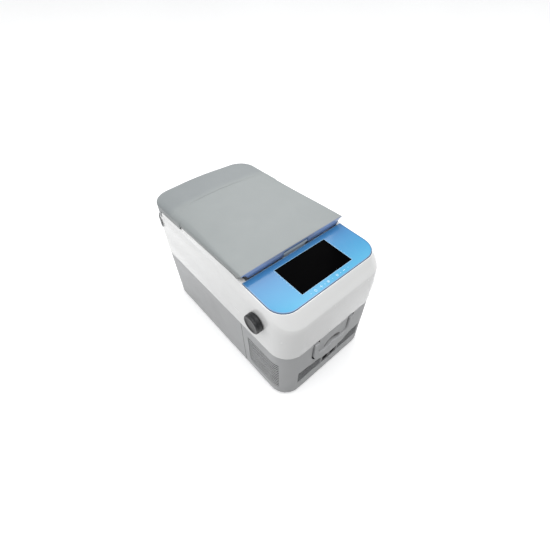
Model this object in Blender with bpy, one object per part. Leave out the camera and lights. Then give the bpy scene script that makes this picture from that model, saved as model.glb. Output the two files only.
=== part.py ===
"""Portable compressor-cooled transport box with a sloping touch panel at the front
and a hinged insulated lid at the rear.

X is the width, the control panel faces -Y, the lid hinge is at +Y and Z is up.
The origin lies on the floor under the middle of the box.  All lengths in metres.
"""

import math

import bmesh
import bpy
from mathutils import Matrix, Vector

# ------------------------------------------------------------------ dimensions
GAP = 0.0003                 # clearance between pieces that touch
WALL = 0.003                 # moulded wall thickness
FOOT_H = 0.0055              # underside of the grey base above the floor

# plan of the grey base (half width, front, rear, corner radius)
BASE_LOW = (0.1618, -0.2770, 0.2755, 0.050)
BASE_TOP = (0.1645, -0.2800, 0.2785, 0.054)
SEAM_Z = 0.188               # grey/white joint
SPLIT_Y = -0.1175            # seam between the front cover and the rear tub
SEAM_GAP = 0.0011            # width of that seam

# plan of the white upper shell at three heights
BAND_LOW = (0.1650, -0.2806, 0.2790, 0.054)
BAND_MID = (0.1650, -0.2830, 0.2795, 0.054)
SHOULDER = (0.1622, -0.2812, 0.2795, 0.052)
BAND_MID_Z = 0.258
SHOULDER_SIDE_Z = 0.3270
SHOULDER_FRONT_Z = 0.2995
REAR_DECK_Z = 0.3175         # deck under the lid
RAIL_Z = 0.3466              # top of the white rails beside the lid
RAIL_LOW_Z = 0.3380          # rails behind the step in the lid's side lip
RAIL_END_Y = 0.2220           # behind this the lid skirt covers the shell
RAIL_INNER_X = 0.1460

# sloping control panel
PANEL_REAR_Y = -0.1330
PANEL_FRONT_Y = -0.2555
PANEL_REAR_Z = 0.3405
PANEL_FRONT_Z = 0.3344
PANEL_HX = 0.1563
PANEL_R = 0.043
PANEL_T = 0.003
DISPLAY_HX = 0.0800
DISPLAY_Y = (-0.2363, -0.1474)

# lid
LID_FRONT_Y = -0.1337
LID_HX = 0.1595
LID_SKIRT_HX = 0.1612
LID_REAR_Y = 0.2905
LID_TOP_Z = 0.3645
LID_BOW = 0.0085              # how far the middle of the rear edge bows out
LID_RIM_Z = 0.3485
LID_SKIRT_Z = 0.3192
LID_STEP_Y, LID_STEP_Z = 0.1175, 0.3400   # the side lip hangs lower behind this station
LID_WALL = 0.0025
HINGE_Y, HINGE_Z = 0.2800, 0.3150

# cold chamber
CHAMBER_HX = 0.1200
CHAMBER_Y = (-0.0850, 0.2360)
CHAMBER_FLOOR_Z = 0.0550

# bail handle at each end
BAIL_OUT, BAIL_IN = 0.0710, 0.0545
BAIL_PIVOT_Y, BAIL_PIVOT_Z = -0.2760, 0.1755
BAIL_FACE_Y, BAIL_BACK_Y = -0.2845, -0.2730
POCKET_Y = -0.2683
SCOOP_Y = -0.2530

# strap studs
STUD_Y, STUD_Z, STUD_R, STUD_H = -0.1860, 0.2680, 0.0285, 0.0175


# ------------------------------------------------------------------- utilities
def clear_scene():
    for ob in list(bpy.data.objects):
        bpy.data.objects.remove(ob, do_unlink=True)


def material(name, rgb, rough, metal=0.0):
    m = bpy.data.materials.new(name)
    m.use_nodes = True
    b = m.node_tree.nodes["Principled BSDF"]
    b.inputs["Base Color"].default_value = (*rgb, 1.0)
    b.inputs["Roughness"].default_value = rough
    b.inputs["Metallic"].default_value = metal
    m.diffuse_color = (*rgb, 1.0)
    return m


GREY = ((0.34, 0.35, 0.345), 0.48, 0.0)
LIDGREY = ((0.42, 0.44, 0.43), 0.40, 0.0)
WHITE = ((0.82, 0.82, 0.81), 0.30, 0.0)
BLUE = ((0.11, 0.38, 0.80), 0.12, 0.0)
BLACK = ((0.012, 0.012, 0.014), 0.35, 0.0)
GLASS = ((0.004, 0.004, 0.006), 0.06, 0.0)
RUBBER = ((0.03, 0.03, 0.03), 0.75, 0.0)
STUD = ((0.09, 0.09, 0.095), 0.45, 0.0)
STEEL = ((0.55, 0.55, 0.56), 0.35, 1.0)
CHROME = ((0.75, 0.76, 0.78), 0.12, 1.0)
COPPER = ((0.72, 0.38, 0.22), 0.30, 1.0)
ALU = ((0.78, 0.79, 0.80), 0.35, 1.0)
FOAM = ((0.85, 0.80, 0.62), 0.90, 0.0)
BOARD = ((0.03, 0.20, 0.09), 0.50, 0.0)


def finish(name, mesh, look, angle=32.0):
    ob = bpy.data.objects.new(name, mesh)
    bpy.context.scene.collection.objects.link(ob)
    mesh.materials.clear()
    mesh.materials.append(material(name + "_finish", *look))
    smooth(mesh, angle)
    return ob


def smooth(mesh, angle=32.0):
    mesh.shade_smooth()
    mesh.set_sharp_from_angle(angle=math.radians(angle))


def solid(name, verts, faces, look, angle=32.0):
    """One closed mesh from points and faces, with its faces turned outward."""
    bm = bmesh.new()
    vs = [bm.verts.new(v) for v in verts]
    for f in faces:
        bm.faces.new([vs[i] for i in f])
    bmesh.ops.recalc_face_normals(bm, faces=bm.faces)
    if bm.calc_volume(signed=True) < 0:
        bmesh.ops.reverse_faces(bm, faces=bm.faces)
    mesh = bpy.data.meshes.new(name)
    bm.to_mesh(mesh)
    bm.free()
    return finish(name, mesh, look, angle)


def loft(name, rings, look, cap="ngon", cap_end=None, closed=False, angle=32.0):
    """Skin a list of equally long rings; cap 'ladder' pairs mirrored points."""
    n = len(rings[0])
    verts = [p for r in rings for p in r]
    faces = []
    last = len(rings) if closed else len(rings) - 1
    for k in range(last):
        a, b = k * n, ((k + 1) % len(rings)) * n
        for i in range(n):
            j = (i + 1) % n
            faces.append((a + i, a + j, b + j, b + i))
    if not closed:
        for base, kind in ((0, cap), ((len(rings) - 1) * n, cap_end or cap)):
            if kind == "ngon":
                faces.append(tuple(base + i for i in range(n)))
            else:
                for i in range(n // 2 - 1):
                    faces.append((base + i, base + i + 1, base + n - 2 - i, base + n - 1 - i))
    return solid(name, verts, faces, look, angle)


def prism(name, pts, axis, lo, hi, look, angle=32.0):
    """A closed outline pushed along X, Y or Z."""
    def place(p, h):
        return {"X": (h, p[0], p[1]), "Y": (p[0], h, p[1]), "Z": (p[0], p[1], h)}[axis]
    rings = [[place(p, lo) for p in pts], [place(p, hi) for p in pts]]
    return loft(name, rings, look, angle=angle)


def box(name, lo, hi, look):
    pts = [(lo[0], lo[1]), (hi[0], lo[1]), (hi[0], hi[1]), (lo[0], hi[1])]
    return prism(name, pts, "Z", lo[2], hi[2], look)


def turned(name, profile, n, centre, axis, look, angle=32.0):
    """A solid of revolution: profile is (radius, height) from one pole to the other."""
    verts, faces = [], []

    def place(r, h, a):
        c, s = r * math.cos(a), r * math.sin(a)
        v = {"Z": (c, s, h), "X": (h, c, s), "-X": (-h, c, s), "Y": (s, h, c), "-Y": (s, -h, c)}[axis]
        return tuple(centre[i] + v[i] for i in range(3))
    index = []
    for r, h in profile:
        if r == 0:
            index.append([len(verts)])
            verts.append(place(0, h, 0))
        else:
            index.append(list(range(len(verts), len(verts) + n)))
            verts += [place(r, h, 2 * math.pi * i / n) for i in range(n)]
    for a, b in zip(index, index[1:]):
        for i in range(n):
            j = (i + 1) % n
            f = [a[i % len(a)], a[j % len(a)], b[j % len(b)], b[i % len(b)]]
            f = [v for k, v in enumerate(f) if v not in f[:k]]
            if len(f) > 2:
                faces.append(tuple(f))
    if len(index[0]) > 1:
        faces.append(tuple(index[0]))
    if len(index[-1]) > 1:
        faces.append(tuple(index[-1]))
    return solid(name, verts, faces, look, angle)


def combine(ob, other, operation="DIFFERENCE", angle=32.0):
    """Boolean with a helper solid, which is then removed."""
    m = ob.modifiers.new("shape", "BOOLEAN")
    m.object = other
    m.operation = operation
    m.solver = "EXACT"
    graph = bpy.context.evaluated_depsgraph_get()
    mesh = bpy.data.meshes.new_from_object(ob.evaluated_get(graph))
    ob.modifiers.clear()
    keep = ob.data.materials[0]
    ob.data = mesh
    mesh.materials.clear()
    mesh.materials.append(keep)
    bm = bmesh.new()
    bm.from_mesh(mesh)
    bmesh.ops.remove_doubles(bm, verts=bm.verts, dist=2e-6)
    bmesh.ops.dissolve_limit(bm, angle_limit=math.radians(0.05), verts=bm.verts, edges=bm.edges)
    bm.to_mesh(mesh)
    bm.free()
    smooth(mesh, angle)
    bpy.data.objects.remove(other, do_unlink=True)
    return ob


def bevel(ob, width, segments=2, angle=35.0):
    m = ob.modifiers.new("edge", "BEVEL")
    m.width = width
    m.segments = segments
    m.limit_method = "ANGLE"
    m.angle_limit = math.radians(angle)
    m.harden_normals = False


def shift_matrix(v):
    return Matrix.Translation(v)


def re_origin(ob, point):
    """Put the object's origin on its joint axis and leave its shape where it is."""
    p = Vector(point)
    ob.data.transform(shift_matrix(-p))
    ob.location = p


def mix(a, b, t):
    return tuple(x + (y - x) * t for x, y in zip(a, b))


def ease(t):
    t = max(0.0, min(1.0, t))
    return t * t * (3 - 2 * t)


CORNER = 8


def plan(hx, yf, yr, rf, rr=None, side=(), n=CORNER):
    """Rounded rectangle, counter-clockwise from the front right corner arc."""
    rr = rf if rr is None else rr
    pts = []

    def arc(cx, cy, r, a0):
        for i in range(n + 1):
            a = math.radians(a0 + 90.0 * i / n)
            pts.append((cx + r * math.cos(a), cy + r * math.sin(a)))
    arc(hx - rf, yf + rf, rf, -90)
    pts.extend((hx, y) for y in side)
    arc(hx - rr, yr - rr, rr, 0)
    arc(-(hx - rr), yr - rr, rr, 90)
    pts.extend((-hx, y) for y in reversed(side))
    arc(-(hx - rf), yf + rf, rf, 180)
    return pts


def inset(p, d):
    return (p[0] - d, p[1] + d, p[2] - d, max(p[3] - d, 0.002))


def ring(p, z, side=()):
    """A horizontal ring of plan p; z is a height or a function of y."""
    return [(x, y, z(y) if callable(z) else z) for x, y in plan(*p[:4], side=side)]


# ------------------------------------------------- outer surfaces of the casing
def base_plan(z):
    return mix(BASE_LOW, BASE_TOP, (z - 0.0095) / (SEAM_Z - 0.0095))


def base_x(y, z, off=0.0):
    """Half width of the grey base at (y, z), off inside the outer face."""
    hx, yf, yr, r = base_plan(z)
    cy = yf + r
    if y >= cy:
        return hx - off
    return hx - r + math.sqrt(max((r - off) ** 2 - (y - cy) ** 2, 0.0))


def base_y(x, z, off=0.0):
    """Front of the grey base at (x, z), off inside the outer face."""
    hx, yf, yr, r = base_plan(z)
    cx = hx - r
    if abs(x) <= cx:
        return yf + off
    return yf + r - math.sqrt(max((r - off) ** 2 - (abs(x) - cx) ** 2, 0.0))


SIDE = (-0.2000, -0.1720, -0.1425, -0.1240, -0.0935, 0.0, 0.1135, 0.1150, 0.2210, 0.2230)


def shoulder_z(y):
    z = SHOULDER_SIDE_Z + (SHOULDER_FRONT_Z - SHOULDER_SIDE_Z) * ease((-0.203 - y) / 0.078)
    return z if y < RAIL_END_Y else REAR_DECK_Z - 0.0022


def panel_z(y):
    return PANEL_REAR_Z + (y - PANEL_REAR_Y) * (PANEL_REAR_Z - PANEL_FRONT_Z) / (PANEL_REAR_Y - PANEL_FRONT_Y)


def crown_z(y):
    """Top edge of the white shell along its length."""
    if y >= RAIL_END_Y:
        return REAR_DECK_Z
    if y > 0.1140:
        return RAIL_LOW_Z
    if y >= -0.0935:
        return RAIL_Z
    t = ease((y + 0.1425) / 0.049)
    return (panel_z(min(y, -0.0935)) - 0.0018) * (1 - t) + RAIL_Z * t


def crown_plan():
    return (0.1590, -0.2582, 0.2778, 0.0455, 0.050)


# ------------------------------------------------------------------- grey base
def bail_corner(hw, rad, zc, steps=6):
    return [(hw - rad + rad * math.cos(math.radians(a)), zc + rad * math.sin(math.radians(a)))
            for a in [-90.0 * i / steps for i in range(steps + 1)]]


def bail_bottom(x, grow=0.0):
    return 0.0895 + 0.004 * (x / 0.025) ** 2 - grow


def bail_top_edge(x):
    return 0.1255 + 0.004 * (x / 0.047) ** 2 + 0.0105 * math.exp(-((x / 0.019) ** 2))


def bail_outline():
    """U-shaped bail seen from the front, closed outline in (x, z)."""
    top = BAIL_PIVOT_Z + 0.0060
    right = [(BAIL_OUT, top)] + bail_corner(BAIL_OUT, 0.046, 0.1395, 8)
    xs = [0.025 * (1 - i / 3.0) for i in range(1, 6)]
    low = [(x, bail_bottom(x)) for x in xs]
    left = [(-x, z) for x, z in reversed(right)]
    inner_l = [(-BAIL_IN, top), (-BAIL_IN, 0.1470), (-BAIL_IN + 0.0010, 0.1410), (-BAIL_IN + 0.0038, 0.1345), (-0.0470, 0.1300)]
    xs2 = [-0.047 + 0.094 * i / 14.0 for i in range(1, 14)]
    mid = [(x, bail_top_edge(x)) for x in xs2]
    inner_r = [(-x, z) for x, z in reversed(inner_l)]
    return right + low + left + inner_l + mid + inner_r


def pocket_outline():
    top = SEAM_Z + 0.004
    hw = BAIL_OUT + 0.0035
    right = [(hw, top)] + bail_corner(hw, 0.0445, 0.1358, 8)
    xs = [0.029 * (1 - i / 3.0) for i in range(1, 6)]
    low = [(x, bail_bottom(x, 0.0015)) for x in xs]
    left = [(-x, z) for x, z in reversed(right)]
    return right + low + left


def pad_outline():
    """Flush tongue of the end wall that fills the bail's loop, in (x, z)."""
    g = 0.0014
    hw = BAIL_IN - g
    left = [(-hw, 0.2200), (-hw, 0.1474), (-hw + 0.0010, 0.1420), (-hw + 0.0036, 0.1357), (-0.0464, 0.1315)]
    xs = [-0.046 + 0.092 * i / 14.0 for i in range(1, 14)]
    low = [(x, bail_top_edge(x) + g) for x in xs]
    return left + low + [(-x, z) for x, z in reversed(left)]


def ellipse(cx, cz, a, b, n=20):
    return [(cx + a * math.cos(2 * math.pi * i / n), cz + b * math.sin(2 * math.pi * i / n)) for i in range(n)]


def flip_y(ob):
    """Turn a helper half a turn about Z, to the other end of the box."""
    ob.data.transform(Matrix.Rotation(math.pi, 4, "Z"))
    return ob


def end_pocket(tub, rear=False):
    """Thicken the end wall, then sink the bail pocket, finger scoop and pin holes in it."""
    dy = (BASE_TOP[2] + BASE_TOP[1]) if rear else 0.0
    def place(ob):
        if rear:
            flip_y(ob)
            ob.data.transform(shift_matrix(Vector((0, dy, 0))))
        return ob
    combine(tub, place(box("block", (-0.086, -0.2776, 0.0805), (0.086, -0.2480, SEAM_Z - 0.0002), GREY)), "UNION")
    groove = prism("pocket", pocket_outline(), "Y", -0.300, POCKET_Y, GREY)
    combine(groove, prism("pad", pad_outline(), "Y", -0.310, -0.250, GREY))
    combine(tub, place(groove))
    combine(tub, place(prism("scoop", ellipse(0.0, 0.1250, 0.0280, 0.0245), "Y", -0.300, SCOOP_Y, GREY)))
    combine(tub, place(turned("bore", [(0.00255, -0.0815), (0.00255, 0.0815)], 16, (0, BAIL_PIVOT_Y, BAIL_PIVOT_Z), "X", GREY)))


def rounded(y0, y1, z0, z1, r, n=4):
    pts = []
    for cy, cz, a0 in ((y1 - r, z0 + r, -90), (y1 - r, z1 - r, 0), (y0 + r, z1 - r, 90), (y0 + r, z0 + r, 180)):
        for i in range(n + 1):
            a = math.radians(a0 + 90.0 * i / n)
            pts.append((cy + r * math.cos(a), cz + r * math.sin(a)))
    return pts


LOUVRE_LOW_Z = 0.0460
LOUVRE_HX = 0.1165


def louvre_top(x):
    return 0.0818 + 0.0162 * (abs(x) - 0.0330) / 0.0835


def louvre_outline():
    xs = [0.0330, 0.0860, 0.0900, 0.0940, 0.0980, 0.1020, 0.1060, 0.1100, LOUVRE_HX - 0.002]
    top = [(x, louvre_top(x)) for x in xs]
    return [(0.0330, LOUVRE_LOW_Z)] + top + [(LOUVRE_HX, 0.094), (LOUVRE_HX, LOUVRE_LOW_Z + 0.003), (LOUVRE_HX - 0.003, LOUVRE_LOW_Z)]


def make_base():
    low, top = BASE_LOW, BASE_TOP
    rings = [
        ring(inset(low, 0.004), FOOT_H),
        ring(inset(low, 0.0012), FOOT_H + 0.0012),
        ring(low, 0.0095),
        ring(base_plan(0.100), 0.100),
        ring(top, SEAM_Z),
        ring(inset(top, WALL), SEAM_Z),
        ring(inset(base_plan(0.100), WALL), 0.100),
        ring(inset(low, WALL), FOOT_H + WALL),
    ]
    tub = loft("base_front_cover", rings, GREY)
    # recess for the stack of the two shells is flush, so only the ends are thickened
    end_pocket(tub)
    end_pocket(tub, rear=True)
    for side in (-1, 1):
        c = prism("vent", rounded(-0.2500, -0.1400, 0.0340, 0.1550, 0.007), "X", 0.130, 0.200, GREY)
        if side < 0:
            c.data.transform(mirror_x())
            c.data.flip_normals()
        combine(tub, c)
        c = prism("louvre", louvre_outline(), "Y", -0.300, -0.2400, GREY)
        if side < 0:
            c.data.transform(mirror_x())
            c.data.flip_normals()
        combine(tub, c)
    combine(tub, box("socket", (-0.0295, -0.300, 0.0460), (0.0295, -0.262, 0.0775), GREY))
    for x in (-0.115, 0.115):
        for y in (-0.215, 0.215):
            combine(tub, turned("stud", [(0.0033, 0.0), (0.0033, 0.02)], 12, (x, y, 0), "Z", GREY))
    rear = bpy.data.objects.new("base_rear_tub", tub.data.copy())
    bpy.context.scene.collection.objects.link(rear)
    rear.data.materials.clear()
    rear.data.materials.append(material("base_rear_tub_finish", *GREY))
    combine(tub, box("back", (-0.3, SPLIT_Y - SEAM_GAP / 2, -0.1), (0.3, 0.4, 0.3), GREY))
    combine(rear, box("front", (-0.3, -0.4, -0.1), (0.3, SPLIT_Y + SEAM_GAP / 2, 0.3), GREY))
    return tub, rear


def mirror_x():
    return Matrix.Diagonal((-1.0, 1.0, 1.0, 1.0))


def mirrored(name, ob, look):
    """A mirror twin of a piece on the other side of the box."""
    bm = bmesh.new()
    bm.from_mesh(ob.data)
    bmesh.ops.transform(bm, matrix=mirror_x(), verts=bm.verts)
    bmesh.ops.reverse_faces(bm, faces=bm.faces)
    mesh = bpy.data.meshes.new(name)
    bm.to_mesh(mesh)
    bm.free()
    twin = finish(name, mesh, look)
    for m in ob.modifiers:
        if m.type == "BEVEL":
            bevel(twin, m.width, m.segments)
    return twin


# ------------------------------------------------------------- grilles
def grid_plate(name, us, vs, is_solid, surf, look):
    """A plate of cells: surf(u, v, 0) is its face, surf(u, v, 1) its back; open cells are slots."""
    nu, nv = len(us) - 1, len(vs) - 1
    verts, index, faces = [], {}, []

    def vid(i, j, s):
        key = (i, j, s)
        if key not in index:
            index[key] = len(verts)
            verts.append(surf(us[i], vs[j], s))
        return index[key]

    def full(i, j):
        return 0 <= i < nu and 0 <= j < nv and is_solid(i, j)
    for i in range(nu):
        for j in range(nv):
            if not full(i, j):
                continue
            for s in (0, 1):
                faces.append((vid(i, j, s), vid(i + 1, j, s), vid(i + 1, j + 1, s), vid(i, j + 1, s)))
            for di, dj, a, b in ((-1, 0, (i, j), (i, j + 1)), (1, 0, (i + 1, j), (i + 1, j + 1)),
                                 (0, -1, (i, j), (i + 1, j)), (0, 1, (i, j + 1), (i + 1, j + 1))):
                if not full(i + di, j + dj):
                    faces.append((vid(*a, 0), vid(*b, 0), vid(*b, 1), vid(*a, 1)))
    return solid(name, verts, faces, look)


def make_side_grille():
    ys = [-0.1360, -0.1430, -0.1780, -0.1810, -0.2130, -0.2160, -0.2300, -0.2430, -0.2460]
    ribs = {0, 2, 4, 7}
    zs = [0.0300]
    z = 0.0400
    while z < 0.1500:
        zs += [z, z + 0.0062]
        z += 0.0112
    zs.append(0.1590)

    def is_solid(i, j):
        return i in ribs or j % 2 == 0
    return grid_plate("vent_grille_right", ys, zs, is_solid,
                      lambda y, z, s: (base_x(y, z, 0.0033 + 0.0020 * s), y, z), GREY)


def make_front_louvre():
    xs = [0.0318, 0.0370, 0.0620, 0.0650, 0.0880, 0.0910, 0.1020, 0.1120, 0.1150]
    ribs = {0, 2, 4, 7}
    zs = [0.0420]
    z = 0.0480
    while z < 0.0960:
        zs += [z, z + 0.0045]
        z += 0.0075
    zs.append(0.1008)

    def is_solid(i, j):
        # beside the thick end wall the plate stays inside the opening
        limit = 0.0800 if i == 0 else louvre_top(xs[i]) - 0.0004 if xs[i] < 0.0875 else 0.1010
        return zs[j + 1] < limit and (i in ribs or j % 2 == 0)
    plate = grid_plate("front_louvre_right", xs, zs, is_solid,
                       lambda x, z, s: (x, base_y(x, z, 0.0033 + 0.0020 * s), z), GREY)
    return plate


# --------------------------------------------------------------- white shell
def make_upper():
    low = ring(inset(BAND_LOW, 0.0012), SEAM_Z + GAP, SIDE)
    low2 = ring(BAND_LOW, SEAM_Z + 0.0018, SIDE)
    q = ring(mix(BAND_LOW, BAND_MID, 0.6), 0.215, SIDE)
    mid = ring(BAND_MID, BAND_MID_Z, SIDE)
    up = ring(mix(BAND_MID, SHOULDER, 0.55), lambda y: BAND_MID_Z + 0.62 * (shoulder_z(y) - BAND_MID_Z), SIDE)
    sh0 = ring(SHOULDER, lambda y: shoulder_z(y) - 0.0025, SIDE)
    sh1 = ring(inset(SHOULDER, 0.0010), lambda y: shoulder_z(y), SIDE)
    c = crown_plan()
    crown = [(x, y, crown_z(y)) for x, y in plan(c[0], c[1], c[2], c[3], c[4], side=SIDE)]
    # the narrow crowned strip between shoulder and panel edge
    mid_strip = []
    for a, b in zip(sh1, crown):
        t = 0.55
        out = 0.0010 if a[2] < b[2] - 0.004 else 0.0
        mid_strip.append((a[0] + (b[0] - a[0]) * t + (out if a[0] > 0 else -out) * 0.6, a[1] + (b[1] - a[1]) * t,
                          a[2] + (b[2] - a[2]) * t + out * 1.2))
    rings = [low, low2, q, mid, up, sh0, sh1, mid_strip, crown]
    shell = loft("upper_housing", rings, WHITE, cap="ngon", cap_end="ladder")
    # hollow from below, following the outside at one wall thickness
    def under(y):
        if y < PANEL_REAR_Y + 0.003:
            return panel_z(y) - PANEL_T - 2.6 * WALL
        return REAR_DECK_Z - WALL
    side2 = (-0.2000, -0.1720, -0.1425, PANEL_REAR_Y + 0.0029, PANEL_REAR_Y + 0.0031, 0.0, 0.2210, 0.2230)
    def cav(p, z):
        return [(x, y, z(y) if callable(z) else z) for x, y in plan(*inset(p, WALL)[:4], side=side2)]
    cavity = loft("cavity", [
        cav(BAND_LOW, SEAM_Z - 0.01), cav(mix(BAND_LOW, BAND_MID, 0.6), 0.215), cav(BAND_MID, BAND_MID_Z),
        cav(inset(SHOULDER, 0.0005), lambda y: min(0.296, under(y) - 0.004)),
        [(x, y, under(y)) for x, y in plan(0.1530, -0.2570, 0.2745, 0.040, 0.048, side=side2)],
    ], WHITE, cap="ngon", cap_end="ladder")
    combine(shell, cavity)
    # seat of the lid between the rails
    seat = [(-RAIL_INNER_X, PANEL_REAR_Y + GAP), (RAIL_INNER_X, PANEL_REAR_Y + GAP), (RAIL_INNER_X, 0.236), (-RAIL_INNER_X, 0.236)]
    combine(shell, prism("seat", seat, "Z", REAR_DECK_Z, 0.40, WHITE))
    # seat of the panel
    face = plan(PANEL_HX + 0.0010, PANEL_FRONT_Y - 0.0010, PANEL_REAR_Y + 0.0011, PANEL_R, 0.0015)
    combine(shell, loft("panel_seat", [[(x, y, panel_z(y) - PANEL_T - GAP) for x, y in face],
                                       [(x, y, panel_z(y) + 0.05) for x, y in face]], WHITE))
    combine(shell, box("display_hole", (-0.0750, -0.2318, 0.28), (0.0750, -0.1518, 0.36), WHITE))
    mouth = plan(CHAMBER_HX + 0.008, CHAMBER_Y[0] - 0.008, CHAMBER_Y[1] + 0.008, 0.030)
    combine(shell, loft("mouth", [[(x, y, 0.28) for x, y in mouth], [(x, y, 0.36) for x, y in mouth]], WHITE))
    # notches for the hinge knuckles
    for s in (-1, 1):
        lo, hi = sorted((s * 0.0505, s * 0.0895))
        combine(shell, box("notch", (lo, 0.2762, 0.3105), (hi, 0.30, 0.33), WHITE))
    return shell


# ------------------------------------------------------------ control panel
def tilted(name, outline, top, bottom, look, hole=None):
    rings = [[(x, y, panel_z(y) + bottom) for x, y in outline], [(x, y, panel_z(y) + top) for x, y in outline]]
    if hole is None:
        return loft(name, rings, look)
    inner = [[(x, y, panel_z(y) + top) for x, y in hole], [(x, y, panel_z(y) + bottom) for x, y in hole]]
    return loft(name, rings + inner, look, closed=True)


def make_panel():
    rim_out = plan(PANEL_HX, PANEL_FRONT_Y, PANEL_REAR_Y + 0.0006, PANEL_R, 0.0018)
    rim_in = plan(PANEL_HX - 0.0013, PANEL_FRONT_Y + 0.0013, PANEL_REAR_Y - 0.0007, PANEL_R - 0.0013, 0.0006)
    tilted("panel_rim", rim_out, 0.0009, -PANEL_T, CHROME, hole=rim_in)
    d = 0.0013 + GAP
    out = plan(PANEL_HX - d, PANEL_FRONT_Y + d, PANEL_REAR_Y - 0.0010, PANEL_R - d, 0.0006)
    w = 0.0005
    fascia = tilted("panel_fascia", out, 0.0, -PANEL_T, BLUE)
    hole = [(-DISPLAY_HX - w, DISPLAY_Y[0] - w), (DISPLAY_HX + w, DISPLAY_Y[0] - w), (DISPLAY_HX + w, DISPLAY_Y[1] + w), (-DISPLAY_HX - w, DISPLAY_Y[1] + w)]
    combine(fascia, loft("window", [[(x, y, 0.30) for x, y in hole], [(x, y, 0.36) for x, y in hole]], BLUE))
    pane = [(-DISPLAY_HX, DISPLAY_Y[0]), (DISPLAY_HX, DISPLAY_Y[0]), (DISPLAY_HX, DISPLAY_Y[1]), (-DISPLAY_HX, DISPLAY_Y[1])]
    tilted("display_glass", pane, -0.0002, -PANEL_T + 0.0002, GLASS)
    body = [(-0.0745, -0.2313), (0.0745, -0.2313), (0.0745, -0.1523), (-0.0745, -0.1523)]
    tilted("display_module", body, -PANEL_T - 0.0002, -0.0115, BLACK)


# ---------------------------------------------------------------------- lid
LID_SIDE = (-0.1240, -0.1100, -0.0850, -0.0400, 0.0300, 0.0900, 0.1168, 0.1182, 0.1400, 0.1625, 0.1695, 0.1765, 0.2000, 0.2222, 0.2234)


def lid_half(y, inset_d):
    """Half width of the lid at y: the rear part is wider, as a skirt over the shell."""
    return (LID_HX if y < 0.1175 else LID_SKIRT_HX) - inset_d


def lid_top(y):
    """Height of the lid's crowned top: level in front, a shallow fall behind the arc crease."""
    t = max(0.0, (y - 0.170) / (LID_REAR_Y - 0.170))
    return LID_TOP_Z - 0.0070 * t ** 1.5 - 0.0024 * ease((y - 0.1625) / 0.014)


def lid_outline(side_in, front_in, rear_in, n=CORNER):
    """Plan of the lid, symmetrical pairs, from the front right corner backwards."""
    right = []
    rf = 0.0022
    hx = LID_HX - side_in
    for i in range(4):
        a = math.radians(-90 + 30 * i)
        right.append((hx - rf + rf * math.cos(a), LID_FRONT_Y + front_in + rf + rf * math.sin(a)))
    for y in LID_SIDE:
        right.append((lid_half(y, side_in), y))
    rr = LID_REAR_Y - LID_BOW - 0.2250 - rear_in
    hx = LID_SKIRT_HX - side_in
    yr = LID_REAR_Y - rear_in - LID_BOW
    for i in range(n + 1):
        a = math.radians(90.0 * i / n)
        right.append((hx - rr + rr * math.cos(a), yr - rr + rr * math.sin(a)))
    x0 = right[-1][0]
    for i in range(1, 4):
        x = x0 * (1 - i / 4.0)
        right.append((x, LID_REAR_Y - rear_in - LID_BOW * (x / x0) ** 2))
    return right + [(-x, y) for x, y in reversed(right)]


def lid_rim(y):
    return LID_RIM_Z if y < LID_STEP_Y else LID_STEP_Z if y < 0.2228 else LID_SKIRT_Z


def make_lid():
    def level(f_side, f_rear, z, front=0.0):
        """Ring whose inset fades towards the crisp front edge."""
        pts = []
        full = lid_outline(0.0, front, 0.0)
        ins = lid_outline(f_side, front, f_rear)
        for a, b in zip(full, ins):
            k = 0.22 + 0.78 * ease((a[1] - LID_FRONT_Y) / 0.075)
            if abs(a[0]) < LID_HX - 0.004 and a[1] < -0.125:
                k = 1.0
            x = a[0] + (b[0] - a[0]) * k
            y = a[1] + (b[1] - a[1])
            pts.append((x, y, z(y, k) if callable(z) else z))
        return pts

    def blend(f):
        """Height between the side edge and the top of the lid."""
        def height(y, k):
            top = lid_top(y)
            edge = 0.3522 if y < 0.1175 else 0.3512
            drop = (top - edge) * (0.30 + 0.70 * ease((y - LID_FRONT_Y) / 0.075)) if y < 0 else top - edge
            return top - drop * f
        return height
    outer = [
        level(0.0, 0.0, lambda y, k: lid_rim(y)),
        level(0.0, 0.0, blend(1.0)),
        level(0.0012, 0.0016, blend(0.72)),
        level(0.0038, 0.0048, blend(0.42)),
        level(0.0078, 0.0095, blend(0.17)),
        level(0.0125, 0.0150, blend(0.04)),
        level(0.0180, 0.0210, blend(0.0)),
    ]
    # the front edge stays crisp: its points keep to the full height above the rim
    n = len(outer[0])
    for k, r in enumerate(outer[1:], 1):
        for i in (0, n - 1):
            x, y, z = r[i]
            r[i] = (x, y, z)
    w = LID_WALL
    inner = [
        level(0.0180 + w, 0.0210 + w, lambda y, k: blend(0.0)(y, k) - w, front=w),
        level(0.0095 + w, 0.0115 + w, lambda y, k: blend(0.17)(y, k) - w, front=w),
        level(0.0040 + w, 0.0050 + w, lambda y, k: blend(0.52)(y, k) - w, front=w),
        level(w, w, lambda y, k: blend(1.0)(y, k) - w, front=w),
        level(w, w, lambda y, k: lid_rim(y), front=w),
    ]
    lid = loft("lid_outer", inner + outer, LIDGREY, cap="ladder")
    # grip opening in the middle of the front edge
    combine(lid, box("grip", (-0.0385, -0.160, 0.330), (0.0385, -0.1290, 0.3570), LIDGREY))
    return lid


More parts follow.
